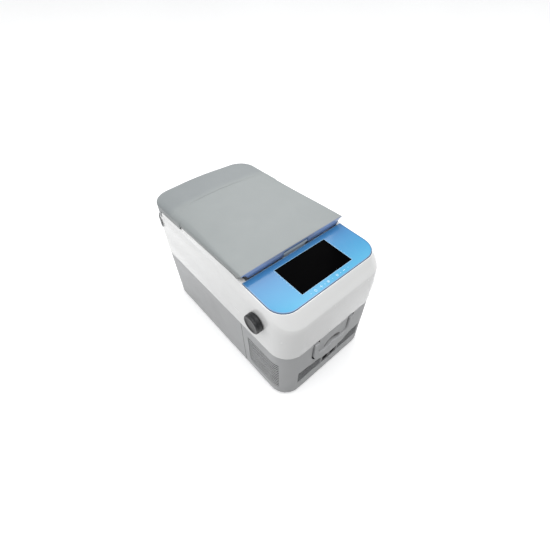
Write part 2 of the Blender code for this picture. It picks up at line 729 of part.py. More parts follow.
def make_lid_inside():
    def r(p, z):
        return [(x, y, z) for x, y in plan(*p, n=5)]
    flange = (0.1430, -0.1110, 0.2600, 0.030)
    plug = (0.1080, -0.0680, 0.2190, 0.030)
    t = 0.002
    rings = [
        r(inset(plug, 0.004), 0.3060), r(inset(plug, 0.0015), 0.3075), r(plug, 0.3105), r(plug, 0.3225),
        r(flange, 0.3225), r(flange, 0.3400),
        r(inset(flange, t), 0.3400), r(inset(flange, t), 0.3225 + t), r(inset(plug, t), 0.3225 + t), r(inset(plug, t + 0.003), 0.3060 + t),
    ]
    loft("lid_inner", rings, WHITE)
    fill = inset(flange, t + GAP)
    fplug = inset(plug, t + 0.0035)
    top = (0.1320, -0.1080, 0.2480, 0.030)
    loft("lid_foam", [r(fplug, 0.3060 + t + GAP), r(fplug, 0.3225 + t + GAP), r(fill, 0.3225 + t + GAP), r(fill, 0.3396), r(top, 0.3500)], FOAM)
    g_out = (0.1380, -0.1095, 0.2575, 0.030)
    g_in = (0.1295, -0.1005, 0.2485, 0.026)
    e = 0.0012
    loft("lid_gasket", [
        r(inset(g_out, e), 0.3178), r(g_out, 0.3178 + e), r(g_out, 0.3222 - e), r(inset(g_out, e), 0.3222),
        r((g_in[0] + e, g_in[1] - e, g_in[2] + e, g_in[3]), 0.3222), r(g_in, 0.3222 - e), r(g_in, 0.3178 + e),
        r((g_in[0] + e, g_in[1] - e, g_in[2] + e, g_in[3]), 0.3178),
    ], RUBBER, closed=True)


LATCH_Y, LATCH_Z = -0.1235, 0.3530


def make_latch():
    # paddle profile in (y, z): pivot barrel, plate and a catch tooth at its foot
    prof = [(LATCH_Y + 0.0028 * math.cos(math.radians(a)), LATCH_Z + 0.0028 * math.sin(math.radians(a)))
            for a in (-20, 10, 40, 70, 100, 130, 160, 190)]
    prof += [(-0.1265, 0.3400), (-0.1265, 0.3290), (-0.1297, 0.3275), (-0.1297, 0.3250), (-0.1270, 0.3225), (-0.1245, 0.3225), (-0.1243, 0.3400)]
    paddle = prism("lid_latch", [(y, z) for y, z in prof], "X", -0.0372, 0.0372, GREY)
    combine(paddle, turned("bore", [(0.00135, -0.05), (0.00135, 0.05)], 16, (0, LATCH_Y, LATCH_Z), "X", GREY))
    combine(paddle, box("spring_gap", (-0.0062, -0.1275, 0.3475), (0.0062, -0.1135, 0.3600), GREY))
    re_origin(paddle, (0, LATCH_Y, LATCH_Z))
    turned("latch_pin", [(0.0013, -0.0440), (0.0013, 0.0440)], 16, (0, LATCH_Y, LATCH_Z), "X", STEEL)
    # torsion spring round the pin
    curve = bpy.data.curves.new("latch_spring", "CURVE")
    curve.dimensions = "3D"
    sp = curve.splines.new("POLY")
    turns, per = 3, 9
    count = turns * per + 1
    sp.points.add(count - 1)
    for i in range(count):
        a = 2 * math.pi * i / per
        x = -0.0040 + 0.0080 * i / (count - 1)
        sp.points[i].co = (x, LATCH_Y + 0.0024 * math.cos(a), LATCH_Z + 0.0024 * math.sin(a), 1.0)
    curve.bevel_depth = 0.0006
    curve.bevel_resolution = 0
    curve.use_fill_caps = True
    ob = bpy.data.objects.new("latch_spring", curve)
    bpy.context.scene.collection.objects.link(ob)
    curve.materials.append(material("latch_spring_finish", *STEEL))
    # strike plate on the step behind the panel
    prof = [(-0.1324, 0.3180), (-0.1245, 0.3180), (-0.1245, 0.3195), (-0.1309, 0.3195), (-0.1309, 0.3330), (-0.1324, 0.3330)]
    prism("latch_strike", prof, "X", -0.0200, 0.0200, STEEL)


# -------------------------------------------------------------------- hinges
def make_hinges():
    for s, tag in ((1, "right"), (-1, "left")):
        # bracket: a strip wrapped round the rear corner, with two ears that carry the pin
        hx, yf, yr, r = SHOULDER
        path = []
        cx, cy = hx - r, yr - r
        for i in range(9):
            a = math.radians(2 + 88 * i / 8)
            path.append((math.cos(a), math.sin(a)))
        rings = []
        if True:
            outer = [(cx + (r + 0.0042) * c, cy + (r + 0.0032) * q) for c, q in path] + [(0.0480, yr + 0.0032)]
            inner = [(cx + (r + 0.0022) * c, cy + (r + 0.0010) * q) for c, q in path] + [(0.0480, yr + 0.0008)]
            rings = outer + inner[::-1]
        bracket = prism("hinge_bracket_" + tag, [(s * x, y) for x, y in rings], "Z", 0.2860, 0.3112, GREY)
        for a, b in ((0.0520, 0.0600), (0.0800, 0.0880)):
            ear = [(HINGE_Y + 0.0031 * math.cos(math.radians(t)), HINGE_Z + 0.0031 * math.sin(math.radians(t)))
                   for t in (0, 22, 45, 67, 90, 112, 135, 157, 180)] + [(HINGE_Y - 0.0029, 0.3107), (HINGE_Y + 0.0029, 0.3107)]
            lo, hi = sorted((s * a, s * b))
            combine(bracket, prism("ear", ear, "X", lo, hi, GREY), "UNION")
        lo, hi = sorted((s * 0.0480, s * 0.0870))
        c = turned("bore", [(0.00165, lo), (0.00165, hi)], 16, (0, HINGE_Y, HINGE_Z), "X", GREY)
        combine(bracket, c)
        # lid arm: knuckle between the ears, tab up inside the skirt
        k = [(HINGE_Y + 0.0030 * math.cos(math.radians(t)), HINGE_Z + 0.0030 * math.sin(math.radians(t)))
             for t in range(-180, 90, 30)]
        prof = k + [(HINGE_Y, 0.3180), (0.2790, 0.3186), (0.2790, 0.3330), (0.2768, 0.3330), (0.2768, 0.3172)]
        lo, hi = sorted((s * 0.0606, s * 0.0794))
        arm = prism("hinge_arm_" + tag, prof, "X", lo, hi, STEEL)
        combine(arm, turned("bore", [(0.00165, -0.1), (0.00165, 0.1)], 16, (0, HINGE_Y, HINGE_Z), "X", STEEL))
        lo, hi = sorted((s * 0.0522, s * 0.0866))
        turned("hinge_pin_" + tag, [(0.0016, lo), (0.0016, hi)], 16, (0, HINGE_Y, HINGE_Z), "X", STEEL)


# ------------------------------------------------------------------- handles
def make_bails():
    for name, rear in (("front_handle", False), ("rear_handle", True)):
        h = prism(name, bail_outline(), "Y", BAIL_FACE_Y, BAIL_BACK_Y, GREY)
        bevel(h, 0.0020, 1, 50.0)
        for s in (-1, 1):
            lo, hi = sorted((s * 0.0585, s * 0.080))
            combine(h, turned("bore", [(0.00255, lo), (0.00255, hi)], 16, (0, BAIL_PIVOT_Y, BAIL_PIVOT_Z), "X", GREY))
        point = (0, BAIL_PIVOT_Y, BAIL_PIVOT_Z)
        if rear:
            flip_y(h)
            h.data.transform(shift_matrix(Vector((0, BASE_TOP[2] + BASE_TOP[1], 0))))
            point = (0, -BAIL_PIVOT_Y + BASE_TOP[2] + BASE_TOP[1], BAIL_PIVOT_Z)
        re_origin(h, point)
        for s, tag in ((1, "right"), (-1, "left")):
            lo, hi = sorted((s * 0.0595, s * 0.0810))
            turned(("rear" if rear else "front") + "_handle_pin_" + tag, [(0.0025, lo), (0.0025, hi)], 16, point, "X", STEEL)


def make_studs():
    prof = [(0, 0.0003), (0.0265, 0.0003), (STUD_R, 0.0018), (STUD_R, 0.0075), (STUD_R - 0.0012, 0.0090), (STUD_R - 0.0012, 0.0098),
            (STUD_R - 0.0004, 0.0108), (STUD_R - 0.0010, 0.0158), (STUD_R - 0.0030, STUD_H), (0.0205, STUD_H), (0.0195, STUD_H - 0.0010), (0, STUD_H - 0.0010)]
    for s, tag in ((1, "right"), (-1, "left")):
        hx = 0.1650
        turned("strap_stud_" + tag, prof, 28, (s * (hx + 0.0002), STUD_Y, STUD_Z), "X" if s > 0 else "-X", STUD)


# -------------------------------------------------------- insulation and cold
def make_chamber():
    def r(p, z):
        return [(x, y, z) for x, y in plan(*p, n=5)]
    t = 0.0015
    top = (CHAMBER_HX, CHAMBER_Y[0], CHAMBER_Y[1], 0.028)
    bot = (CHAMBER_HX - 0.002, CHAMBER_Y[0] + 0.002, CHAMBER_Y[1] - 0.002, 0.026)
    out = inset(top, -t)
    lip = inset(top, -0.0075)
    rings = [
        r(inset(bot, -t + 0.004), CHAMBER_FLOOR_Z - t), r(inset(bot, -t), CHAMBER_FLOOR_Z + 0.004), r(out, REAR_DECK_Z - 0.0025),
        r(lip, REAR_DECK_Z - 0.0025), r(lip, REAR_DECK_Z),
        r(inset(top, -0.001), REAR_DECK_Z), r(top, REAR_DECK_Z - 0.001), r(bot, CHAMBER_FLOOR_Z + 0.004), r(inset(bot, 0.004), CHAMBER_FLOOR_Z),
    ]
    loft("chamber_liner", rings, WHITE)
    e_in, e_out = inset(top, -t - GAP), inset(top, -t - GAP - 0.0012)
    loft("evaporator_sleeve", [r(e_out, 0.090), r(e_out, 0.285), r(e_in, 0.285), r(e_in, 0.090)], ALU, closed=True)
    # insulation fills the rest of the rear
    f = -0.1150
    z0 = FOOT_H + WALL + 0.0005
    def shell_ring(p, z, d):
        q = inset(p, d)
        return [(x, max(y, f), z) for x, y in plan(q[0], -0.20, q[2], 0.05, q[3])]
    outer = [shell_ring(base_plan(0.012), z0, WALL + 0.004), shell_ring(base_plan(0.02), z0 + 0.006, WALL + 0.0006),
             shell_ring(base_plan(0.180), 0.1800, WALL + 0.0006), shell_ring(BAND_MID, 0.2000, WALL + 0.0012),
             shell_ring(BAND_MID, 0.2600, WALL + 0.0012), shell_ring(SHOULDER, 0.2900, WALL + 0.0016), shell_ring((0.1530, 0, 0.2745, 0.048), 0.3135, 0.0016)]
    foam = foam_solid(outer)
    core = loft("core", [r(inset(top, -0.0036), CHAMBER_FLOOR_Z - 0.0022), r(inset(top, -0.0036), 0.36)], FOAM)
    combine(foam, core)
    # pocket behind the rear handle
    combine(foam, box("behind", (-0.088, 0.2480 - 0.0025, 0.0785), (0.088, 0.32, 0.1900), FOAM))


def foam_solid(rings):
    """Drop the repeated front points of a clamped ring, then skin it."""
    clean = []
    for r in rings:
        pts = [p for p in r if p[1] > -0.1150 + 1e-6]
        xr = max(p[0] for p in r)
        z = r[0][2]
        pts = [(xr, -0.1150, z)] + pts + [(-xr, -0.1150, z)]
        clean.append(pts)
    return loft("foam_body", clean, FOAM)


# ------------------------------------------------------------ machine bay
def tube(name, pts, radius, look, res=1):
    """A pipe along a smooth run through the given points."""
    dense = []
    n = len(pts)
    for i in range(n - 1):
        p0, p1, p2, p3 = (Vector(pts[max(i - 1, 0)]), Vector(pts[i]), Vector(pts[i + 1]), Vector(pts[min(i + 2, n - 1)]))
        for k in range(4):
            t = k / 4.0
            dense.append(0.5 * ((2 * p1) + (p2 - p0) * t + (2 * p0 - 5 * p1 + 4 * p2 - p3) * t * t + (3 * p1 - p0 - 3 * p2 + p3) * t ** 3))
    dense.append(Vector(pts[-1]))
    curve = bpy.data.curves.new(name, "CURVE")
    curve.dimensions = "3D"
    sp = curve.splines.new("POLY")
    sp.points.add(len(dense) - 1)
    for i, p in enumerate(dense):
        sp.points[i].co = (p.x, p.y, p.z, 1.0)
    curve.bevel_depth = radius
    curve.bevel_resolution = res
    curve.use_fill_caps = True
    curve.materials.append(material(name + "_finish", *look))
    ob = bpy.data.objects.new(name, curve)
    bpy.context.scene.collection.objects.link(ob)
    return ob


COMP = (0.0700, -0.1900)
FAN = (-0.1000, -0.1930, 0.0930)


def make_machine_bay():
    base = plan(0.1480, -0.2600, -0.1240, 0.045, 0.004)
    loft("machine_floor", [[(x, y, FOOT_H + WALL + GAP) for x, y in base], [(x, y, FOOT_H + WALL + 0.0018) for x, y in base]], STEEL)
    top = FOOT_H + WALL + 0.0018
    box("bulkhead", (-0.1550, -0.1186, 0.0105), (0.1550, -0.1156, 0.2900), STEEL)
    cx, cy = COMP
    k = 0
    for dx in (-0.042, 0.042):
        for dy in (-0.038, 0.038):
            k += 1
            turned("grommet_%d" % k, [(0, top + GAP), (0.0085, top + GAP), (0.0085, top + 0.0040), (0.0065, top + 0.0055), (0.0085, top + 0.0070),
                                      (0.0085, top + 0.0100), (0, top + 0.0100)], 12, (cx + dx, cy + dy, 0), "Z", RUBBER)
    z = top + 0.0100 + GAP
    box("compressor_bracket", (cx - 0.055, cy - 0.050, z), (cx + 0.055, cy + 0.050, z + 0.0025), STEEL)
    z += 0.0025 + GAP
    r = 0.046
    turned("compressor", [(0, z), (0.030, z), (0.040, z + 0.006), (r, z + 0.020), (r, z + 0.060), (r + 0.0025, z + 0.062), (r + 0.0025, z + 0.067),
                          (r, z + 0.069), (r, z + 0.098), (0.041, z + 0.115), (0.028, z + 0.127), (0.012, z + 0.133), (0, z + 0.134)], 24,
           (cx, cy, 0), "Z", BLACK)
    # condenser: a stack of upright fins with a back plate, behind the left vent
    x0, x1 = -0.1480, -0.1260
    fins = []
    n = 15
    y0, pitch, t = -0.2420, 0.0070, 0.0022
    pts = [(x1, y0), (x1, y0 + pitch * (n - 1) + t)]
    for i in reversed(range(n)):
        y = y0 + pitch * i
        pts += [(x0, y + t), (x0, y)]
        if i:
            pts += [(x1 - 0.004, y), (x1 - 0.004, y - pitch + t)]
    fins = [p for p in pts]
    prism("condenser", fins, "Z", 0.0340, 0.1520, ALU)
    # cooling fan: frame with three struts and a hub, rotor inside
    fx, fy, fz = FAN
    frame = box("fan_frame", (fx - 0.0200, fy - 0.0500, fz - 0.0500), (fx + 0.0050, fy + 0.0500, fz + 0.0500), BLACK)
    combine(frame, turned("throat", [(0.0465, -0.0150), (0.0465, 0.10)], 32, (fx, fy, fz), "X", BLACK))
    sect = [(fy + 0.0480 * math.sin(2 * math.pi * i / 32), fz + 0.0480 * math.cos(2 * math.pi * i / 32)) for i in range(32)]
    for i in range(4):
        a0 = math.radians(90 * i + 7)
        a1 = math.radians(90 * i + 83)
        wedge = []
        for j in range(9):
            a = a0 + (a1 - a0) * j / 8
            wedge.append((fy + 0.0462 * math.cos(a), fz + 0.0462 * math.sin(a)))
        for j in reversed(range(5)):
            a = a0 + (a1 - a0) * j / 4
            wedge.append((fy + 0.0200 * math.cos(a), fz + 0.0200 * math.sin(a)))
        combine(frame, prism("wedge", wedge, "X", fx - 0.03, fx + 0.02, BLACK))
    combine(frame, turned("spindle", [(0.0040, -0.0160), (0.0040, -0.0040)], 16, (fx, fy, fz), "X", BLACK), "UNION")
    # rotor: hub and seven blades, twisted along the axis
    blades = 7
    outline = []
    for b in range(blades):
        a = 2 * math.pi * b / blades
        w = 2 * math.pi / blades
        for f, rad in ((0.0, 0.0175), (0.06, 0.0440), (0.20, 0.0446), (0.34, 0.0436), (0.46, 0.0175), (0.72, 0.0175)):
            outline.append((a + f * w, rad))
    rings = []
    for x, tw in ((-0.0120, 0.0), (-0.0050, 0.16), (0.0020, 0.30)):
        rings.append([(fx + x, fy + rad * math.cos(a + tw), fz + rad * math.sin(a + tw)) for a, rad in outline])
    rotor = loft("fan_rotor", rings, BLACK)
    combine(rotor, turned("bore", [(0.0041, -0.05), (0.0041, -0.0035)], 16, (fx, fy, fz), "X", BLACK))
    re_origin(rotor, FAN)
    # pipes
    zc = z + 0.105
    tube("discharge_pipe", [(cx - 0.0478, cy - 0.020, zc - 0.040), (cx - 0.060, cy - 0.024, zc - 0.040), (cx - 0.085, cy - 0.032, zc + 0.030),
                            (-0.050, -0.232, 0.175), (-0.100, -0.232, 0.176), (-0.1290, -0.234, 0.166), (-0.1290, -0.235, 0.1540)], 0.0032, COPPER)
    tube("suction_pipe", [(cx + 0.010, cy + 0.0300, z + 0.1270), (cx + 0.010, cy + 0.034, z + 0.150), (cx + 0.002, cy + 0.044, 0.205), (cx - 0.010, -0.1330, 0.225),
                          (cx - 0.010, -0.1300, 0.255), (cx - 0.010, -0.1240, 0.262), (cx - 0.010, -0.1190, 0.263)], 0.0038, COPPER)
    turned("filter_drier", [(0, 0.0), (0.0035, 0.0), (0.0035, 0.008), (0.0095, 0.016), (0.0095, 0.062), (0.0035, 0.070), (0.0035, 0.078), (0, 0.078)], 16,
           (-0.0200, -0.1350, 0.160), "Z", COPPER)
    # power electronics on the bulkhead
    prof = [(-0.0750, -0.1192), (-0.0750, -0.1208), (0.0150, -0.1208), (0.0150, -0.1192)]
    prism("power_board", prof, "Z", 0.0400, 0.1300, BOARD)
    # heat sink with fins on the board
    pts = [(-0.0500, -0.1211), (0.0000, -0.1211)]
    nf = 8
    for i in reversed(range(nf)):
        x = -0.0500 + i * 0.0068
        pts += [(x + 0.0020 if i < nf - 1 else 0.0, -0.1330), (x, -0.1330)]
        if i:
            pts += [(x, -0.1235), (x - 0.0068 + 0.0020, -0.1235)]
    prism("heat_sink", pts, "Z", 0.0600, 0.1150, ALU)


def make_sockets():
    y0 = base_y(0, 0.062) + 0.0012
    # insert with two cavities, closed at the back
    block = box("socket_block", (-0.0290, y0, 0.0465), (0.0290, y0 + 0.0240, 0.0770), BLACK)
    combine(block, box("dc", (-0.0250, y0 - 0.01, 0.0505), (-0.0030, y0 + 0.0180, 0.0730), BLACK))
    combine(block, box("ac", (0.0030, y0 - 0.01, 0.0505), (0.0250, y0 + 0.0180, 0.0730), BLACK))
    for name, x in (("dc_inlet", -0.0140), ("ac_inlet", 0.0140)):
        w, h = 0.0106, 0.0107
        zc = 0.06175
        body = box(name, (x - w, y0 + 0.0008, zc - h), (x + w, y0 + 0.0177, zc + h), BLACK)
        cav = rounded(x - w + 0.0016, x + w - 0.0016, zc - h + 0.0030, zc + h - 0.0030, 0.003 if name == "dc_inlet" else 0.0070)
        combine(body, prism("cavity", cav, "Y", y0 - 0.01, y0 + 0.0150, BLACK))
        for s in (-1, 1):
            combine(body, turned("contact", [(0.0010, y0 + 0.0050), (0.0010, y0 + 0.0160)], 12, (x + s * 0.0042, 0, zc), "Y", BLACK), "UNION")


def make_feet():
    k = 0
    for y in (-0.215, 0.215):
        for x in (-0.115, 0.115):
            k += 1
            turned("foot_%d" % k, [(0, 0.0), (0.0125, 0.0), (0.0140, 0.0015), (0.0140, FOOT_H - GAP), (0.0030, FOOT_H - GAP), (0.0030, 0.0083), (0, 0.0083)], 18,
                   (x, y, 0), "Z", RUBBER)


def make_lamp():
    y = CHAMBER_Y[0] + 0.0005
    ob = prism("interior_lamp", rounded(-0.0160, 0.0160, 0.2900, 0.3010, 0.004), "Y", y, y + 0.0030, WHITE)
    bevel(ob, 0.0006, 1, 50.0)


def build():
    clear_scene()
    make_base()
    right = make_side_grille()
    mirrored("vent_grille_left", right, GREY)
    right = make_front_louvre()
    mirrored("front_louvre_left", right, GREY)
    make_sockets()
    make_feet()
    make_upper()
    make_panel()
    make_lid()
    make_lid_inside()
    make_latch()
    make_hinges()
    make_bails()
    make_studs()
    make_chamber()
    make_machine_bay()
    make_lamp()


build()
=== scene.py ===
import math

import bmesh
import bpy
from mathutils import Matrix, Vector


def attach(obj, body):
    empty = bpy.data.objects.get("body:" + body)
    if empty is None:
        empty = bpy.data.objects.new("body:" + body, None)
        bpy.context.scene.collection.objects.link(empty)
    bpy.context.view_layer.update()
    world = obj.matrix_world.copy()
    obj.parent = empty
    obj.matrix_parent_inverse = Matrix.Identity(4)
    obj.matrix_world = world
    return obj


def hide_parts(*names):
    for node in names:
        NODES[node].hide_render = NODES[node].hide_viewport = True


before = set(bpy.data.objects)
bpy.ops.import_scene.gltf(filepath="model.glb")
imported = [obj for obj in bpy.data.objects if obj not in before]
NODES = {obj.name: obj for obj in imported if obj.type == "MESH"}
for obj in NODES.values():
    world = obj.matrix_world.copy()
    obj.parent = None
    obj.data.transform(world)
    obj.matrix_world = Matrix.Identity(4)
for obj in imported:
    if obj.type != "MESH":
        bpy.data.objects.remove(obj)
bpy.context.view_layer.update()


SCENE = bpy.context.scene


# ---------------------------------------------------------------- materials
def srgb(r, g, b):
    """Linear colour of an 8-bit display colour."""
    out = []
    for v in (r, g, b):
        v = v / 255.0
        out.append(v / 12.92 if v <= 0.04045 else ((v + 0.055) / 1.055) ** 2.4)
    return (out[0], out[1], out[2], 1.0)


class Tree:
    """Small helper that adds and links nodes of one material."""

    def __init__(self, name):
        self.mat = bpy.data.materials.new(name)
        self.mat.use_nodes = True
        self.t = self.mat.node_tree
        self.t.nodes.clear()
        self.out = self.t.nodes.new("ShaderNodeOutputMaterial")
        self.bsdf = self.t.nodes.new("ShaderNodeBsdfPrincipled")
        self.t.links.new(self.bsdf.outputs[0], self.out.inputs[0])
        self.coord = self.t.nodes.new("ShaderNodeTexCoord").outputs["Object"]

    def link(self, a, b):
        self.t.links.new(a, b)

    def set(self, **values):
        for k, v in values.items():
            self.bsdf.inputs[k.replace("_", " ")].default_value = v

    def noise(self, scale, detail=2.0, rough=0.5, stretch=None, distortion=0.0):
        n = self.t.nodes.new("ShaderNodeTexNoise")
        n.inputs["Scale"].default_value = scale
        n.inputs["Detail"].default_value = detail
        n.inputs["Roughness"].default_value = rough
        n.inputs["Distortion"].default_value = distortion
        src = self.coord
        if stretch:
            m = self.t.nodes.new("ShaderNodeMapping")
            m.inputs["Scale"].default_value = stretch
            self.link(src, m.inputs["Vector"])
            src = m.outputs[0]
        self.link(src, n.inputs["Vector"])
        return n.outputs["Fac"]

    def voronoi(self, scale, feature="F1"):
        n = self.t.nodes.new("ShaderNodeTexVoronoi")
        n.feature = feature
        n.inputs["Scale"].default_value = scale
        self.link(self.coord, n.inputs["Vector"])
        return n.outputs["Distance"]

    def ramp(self, fac, stops, mode="LINEAR"):
        n = self.t.nodes.new("ShaderNodeValToRGB")
        n.color_ramp.interpolation = mode
        els = n.color_ramp.elements
        while len(els) < len(stops):
            els.new(0.5)
        for e, (p, c) in zip(els, stops):
            e.position = p
            e.color = c if isinstance(c, tuple) else (c, c, c, 1.0)
        self.link(fac, n.inputs["Fac"])
        return n.outputs["Color"]

    def span(self, fac, lo, hi, a=0.0, b=1.0, smooth=False):
        n = self.t.nodes.new("ShaderNodeMapRange")
        n.interpolation_type = "SMOOTHSTEP" if smooth else "LINEAR"
        n.inputs["From Min"].default_value = lo
        n.inputs["From Max"].default_value = hi
        n.inputs["To Min"].default_value = a
        n.inputs["To Max"].default_value = b
        self.link(fac, n.inputs["Value"])
        return n.outputs["Result"]

    def math(self, op, a, b=None, c=None):
        n = self.t.nodes.new("ShaderNodeMath")
        n.operation = op
        for i, v in enumerate((a, b, c)):
            if v is None:
                continue
            if isinstance(v, (int, float)):
                n.inputs[i].default_value = v
            else:
                self.link(v, n.inputs[i])
        return n.outputs[0]

    def mix(self, fac, a, b, blend="MIX"):
        n = self.t.nodes.new("ShaderNodeMix")
        n.data_type = "RGBA"
        n.blend_type = blend
        n.clamp_factor = True
        for sock, v in ((n.inputs[0], fac), (n.inputs[6], a), (n.inputs[7], b)):
            if isinstance(v, (int, float)):
                sock.default_value = v
            elif isinstance(v, tuple):
                sock.default_value = v
            else:
                self.link(v, sock)
        return n.outputs[2]

    def axis(self, which):
        n = self.t.nodes.new("ShaderNodeSeparateXYZ")
        self.link(self.coord, n.inputs[0])
        return n.outputs["XYZ".index(which)]

    def bump(self, height, strength, distance, under=None):
        n = self.t.nodes.new("ShaderNodeBump")
        n.inputs["Strength"].default_value = strength
        n.inputs["Distance"].default_value = distance
        self.link(height, n.inputs["Height"])
        if under is not None:
            self.link(under, n.inputs["Normal"])
        return n.outputs["Normal"]

    def normal(self, n):
        self.link(n, self.bsdf.inputs["Normal"])

    def color(self, c):
        self.link(c, self.bsdf.inputs["Base Color"])

    def rough(self, r):
        self.link(r, self.bsdf.inputs["Roughness"])


def darker(c, k):
    return (c[0] * k, c[1] * k, c[2] * k, 1.0)


def plastic(name, col, rough=0.4, grain=900.0, grain_depth=0.00003, mottle=0.06, smudge=0.08, coat=0.0, coat_rough=0.1, specular=0.5):
    """Moulded plastic: fine spark-eroded grain, slow colour drift, handled patches and a few fine scuffs."""
    t = Tree(name)
    slow = t.noise(7.0, 3.0, 0.55)
    fine = t.noise(grain, 2.0, 0.6)
    patch = t.noise(23.0, 4.0, 0.6, distortion=0.4)
    base = t.mix(t.span(slow, 0.3, 0.7), darker(col, 1.0 - mottle), darker(col, 1.0 + mottle * 0.6))
    base = t.mix(t.span(fine, 0.35, 0.75, 0.0, 0.05), base, darker(col, 0.55))
    scuff = t.noise(60.0, 2.0, 0.5, stretch=(1.0, 0.12, 0.6))
    scuff_mask = t.math("MULTIPLY", t.span(scuff, 0.66, 0.74), t.span(patch, 0.52, 0.64))
    base = t.mix(t.math("MULTIPLY", scuff_mask, 0.025), base, (0.9, 0.9, 0.9, 1.0))
    t.color(base)
    r = t.span(patch, 0.3, 0.7, rough - smudge, rough + smudge)
    r = t.math("ADD", r, t.math("MULTIPLY", scuff_mask, 0.10))
    t.rough(r)
    h = t.bump(fine, 0.35, grain_depth)
    h = t.bump(t.noise(60.0, 2.0, 0.5), 0.25, 0.00004, under=h)
    t.normal(h)
    t.set(Specular_IOR_Level=specular, Coat_Weight=coat, Coat_Roughness=coat_rough)
    return t.mat


def metal(name, col, rough=0.3, brushed=(1.0, 40.0, 1.0), depth=0.00002, tint=0.1):
    t = Tree(name)
    lines = t.noise(55.0, 3.0, 0.6, stretch=brushed)
    spots = t.noise(38.0, 4.0, 0.6)
    t.color(t.mix(t.span(spots, 0.35, 0.65), darker(col, 1.0 - tint), darker(col, 1.0)))
    t.rough(t.span(lines, 0.3, 0.7, rough * 0.7, rough * 1.35))
    t.normal(t.bump(lines, 0.25, depth))
    t.set(Metallic=1.0)
    return t.mat


def rubber_like(name, col, rough=0.7):
    t = Tree(name)
    f = t.noise(700.0, 3.0, 0.7)
    d = t.noise(20.0, 4.0, 0.6)
    t.color(t.mix(t.span(d, 0.4, 0.7), col, darker(col, 1.9)))
    t.rough(t.span(d, 0.3, 0.7, rough - 0.08, rough + 0.12))
    t.normal(t.bump(f, 0.4, 0.00006))
    return t.mat


def foam_like(name, col):
    t = Tree(name)
    v = t.voronoi(450.0)
    d = t.noise(14.0, 4.0, 0.6)
    t.color(t.mix(t.span(v, 0.1, 0.6), darker(col, 0.7), t.mix(d, darker(col, 0.9), col)))
    t.rough(t.span(v, 0.0, 0.6, 0.95, 0.7))
    t.normal(t.bump(v, 0.6, 0.0004))
    return t.mat


def board_like(name):
    t = Tree(name)
    v = t.voronoi(160.0, "DISTANCE_TO_EDGE")
    n = t.noise(90.0, 1.0, 0.3)
    t.color(t.mix(t.span(v, 0.02, 0.035), (0.02, 0.16, 0.06, 1), (0.01, 0.075, 0.03, 1)))
    t.rough(t.span(n, 0.3, 0.7, 0.25, 0.45))
    t.normal(t.bump(t.span(v, 0.02, 0.035), 0.3, 0.00005))
    return t.mat


# glossy grey front edge of the lid, tinted blue as a painted reflection of the control panel
LID_EDGE_PAINTED_BLUE = plastic("lid_edge_painted_reflection", srgb(164, 180, 218), rough=0.22, grain=1400.0, mottle=0.02, smudge=0.05, coat=0.5, coat_rough=0.08)
LID = plastic("lid_plastic", srgb(142, 147, 147), rough=0.40, grain=1100.0, mottle=0.025, smudge=0.05)
PADDLE = plastic("latch_plastic", srgb(204, 212, 216), rough=0.35, grain=1100.0, mottle=0.03, smudge=0.05)
GREY = plastic("body_plastic", srgb(182, 183, 184), rough=0.45, grain=1000.0, mottle=0.03, smudge=0.05)
GREY_DARK = plastic("grille_plastic", srgb(52, 53, 55), rough=0.5, grain=1000.0, mottle=0.04, smudge=0.05)
WHITE = plastic("white_plastic", srgb(244, 244, 243), rough=0.22, grain=1600.0, grain_depth=0.00001, mottle=0.012, smudge=0.05, coat=0.35, coat_rough=0.08)
STUD = plastic("stud_plastic", srgb(22, 23, 26), rough=0.42, grain=900.0, mottle=0.08, smudge=0.08)
BLACK = plastic("black_plastic", srgb(26, 27, 29), rough=0.4, grain=900.0, mottle=0.1, smudge=0.08)
LINER = plastic("liner_plastic", srgb(232, 234, 234), rough=0.3, grain=1200.0, mottle=0.02, smudge=0.06)
RUBBER = rubber_like("foot_rubber", srgb(34, 34, 35))
STEEL = metal("zinc_steel", (0.62, 0.63, 0.65, 1), rough=0.32)
ALU = metal("plain_aluminium", (0.80, 0.81, 0.82, 1), rough=0.35, brushed=(30.0, 1.0, 1.0))
COPPER = metal("copper_tube", (0.80, 0.42, 0.27, 1), rough=0.28, brushed=(1.0, 1.0, 20.0))
FOAM = foam_like("rigid_foam", (0.80, 0.70, 0.42, 1))
BOARD = board_like("circuit_board")
MARK = plastic("printed_white", srgb(196, 224, 242), rough=0.35, grain=1500.0, grain_depth=0.000004, mottle=0.01, smudge=0.04)


def panel_material():
    """Back-printed glossy blue sheet: a lighter blue towards the front edge under a clear coat."""
    t = Tree("panel_blue")
    y = t.axis("Y")
    k = t.span(y, -0.268, -0.140)
    c = t.ramp(k, [(0.0, srgb(80, 174, 212)), (0.35, srgb(72, 156, 202)), (1.0, srgb(66, 126, 182))])
    n = t.noise(9.0, 3.0, 0.5)
    c = t.mix(t.span(n, 0.3, 0.7, 0.0, 0.06), c, srgb(98, 178, 216))
    t.color(c)
    s = t.noise(30.0, 4.0, 0.6, distortion=0.5)
    t.rough(t.span(s, 0.35, 0.7, 0.12, 0.22))
    t.normal(t.bump(t.noise(18.0, 1.0, 0.4), 0.2, 0.00005))
    t.set(Specular_IOR_Level=0.35, Coat_Weight=0.22, Coat_Roughness=0.05)
    return t.mat


def glass_material():
    t = Tree("display_face")
    s = t.noise(26.0, 4.0, 0.6, distortion=0.6)
    v = t.noise(3500.0, 0.0, 0.0)
    t.color(t.mix(t.span(v, 0.4, 0.6), (0.0004, 0.0004, 0.0005, 1), (0.0009, 0.0008, 0.0009, 1)))
    t.rough(t.span(s, 0.35, 0.7, 0.10, 0.20))
    t.set(Specular_IOR_Level=0.006)
    return t.mat


def paint_shade(t, base_look, col, mask):
    """Painted shade laid over an existing look where mask is 1."""
    old = t.bsdf.inputs["Base Color"].links[0].from_socket
    t.color(t.mix(t.math("MULTIPLY", mask, base_look), old, col))


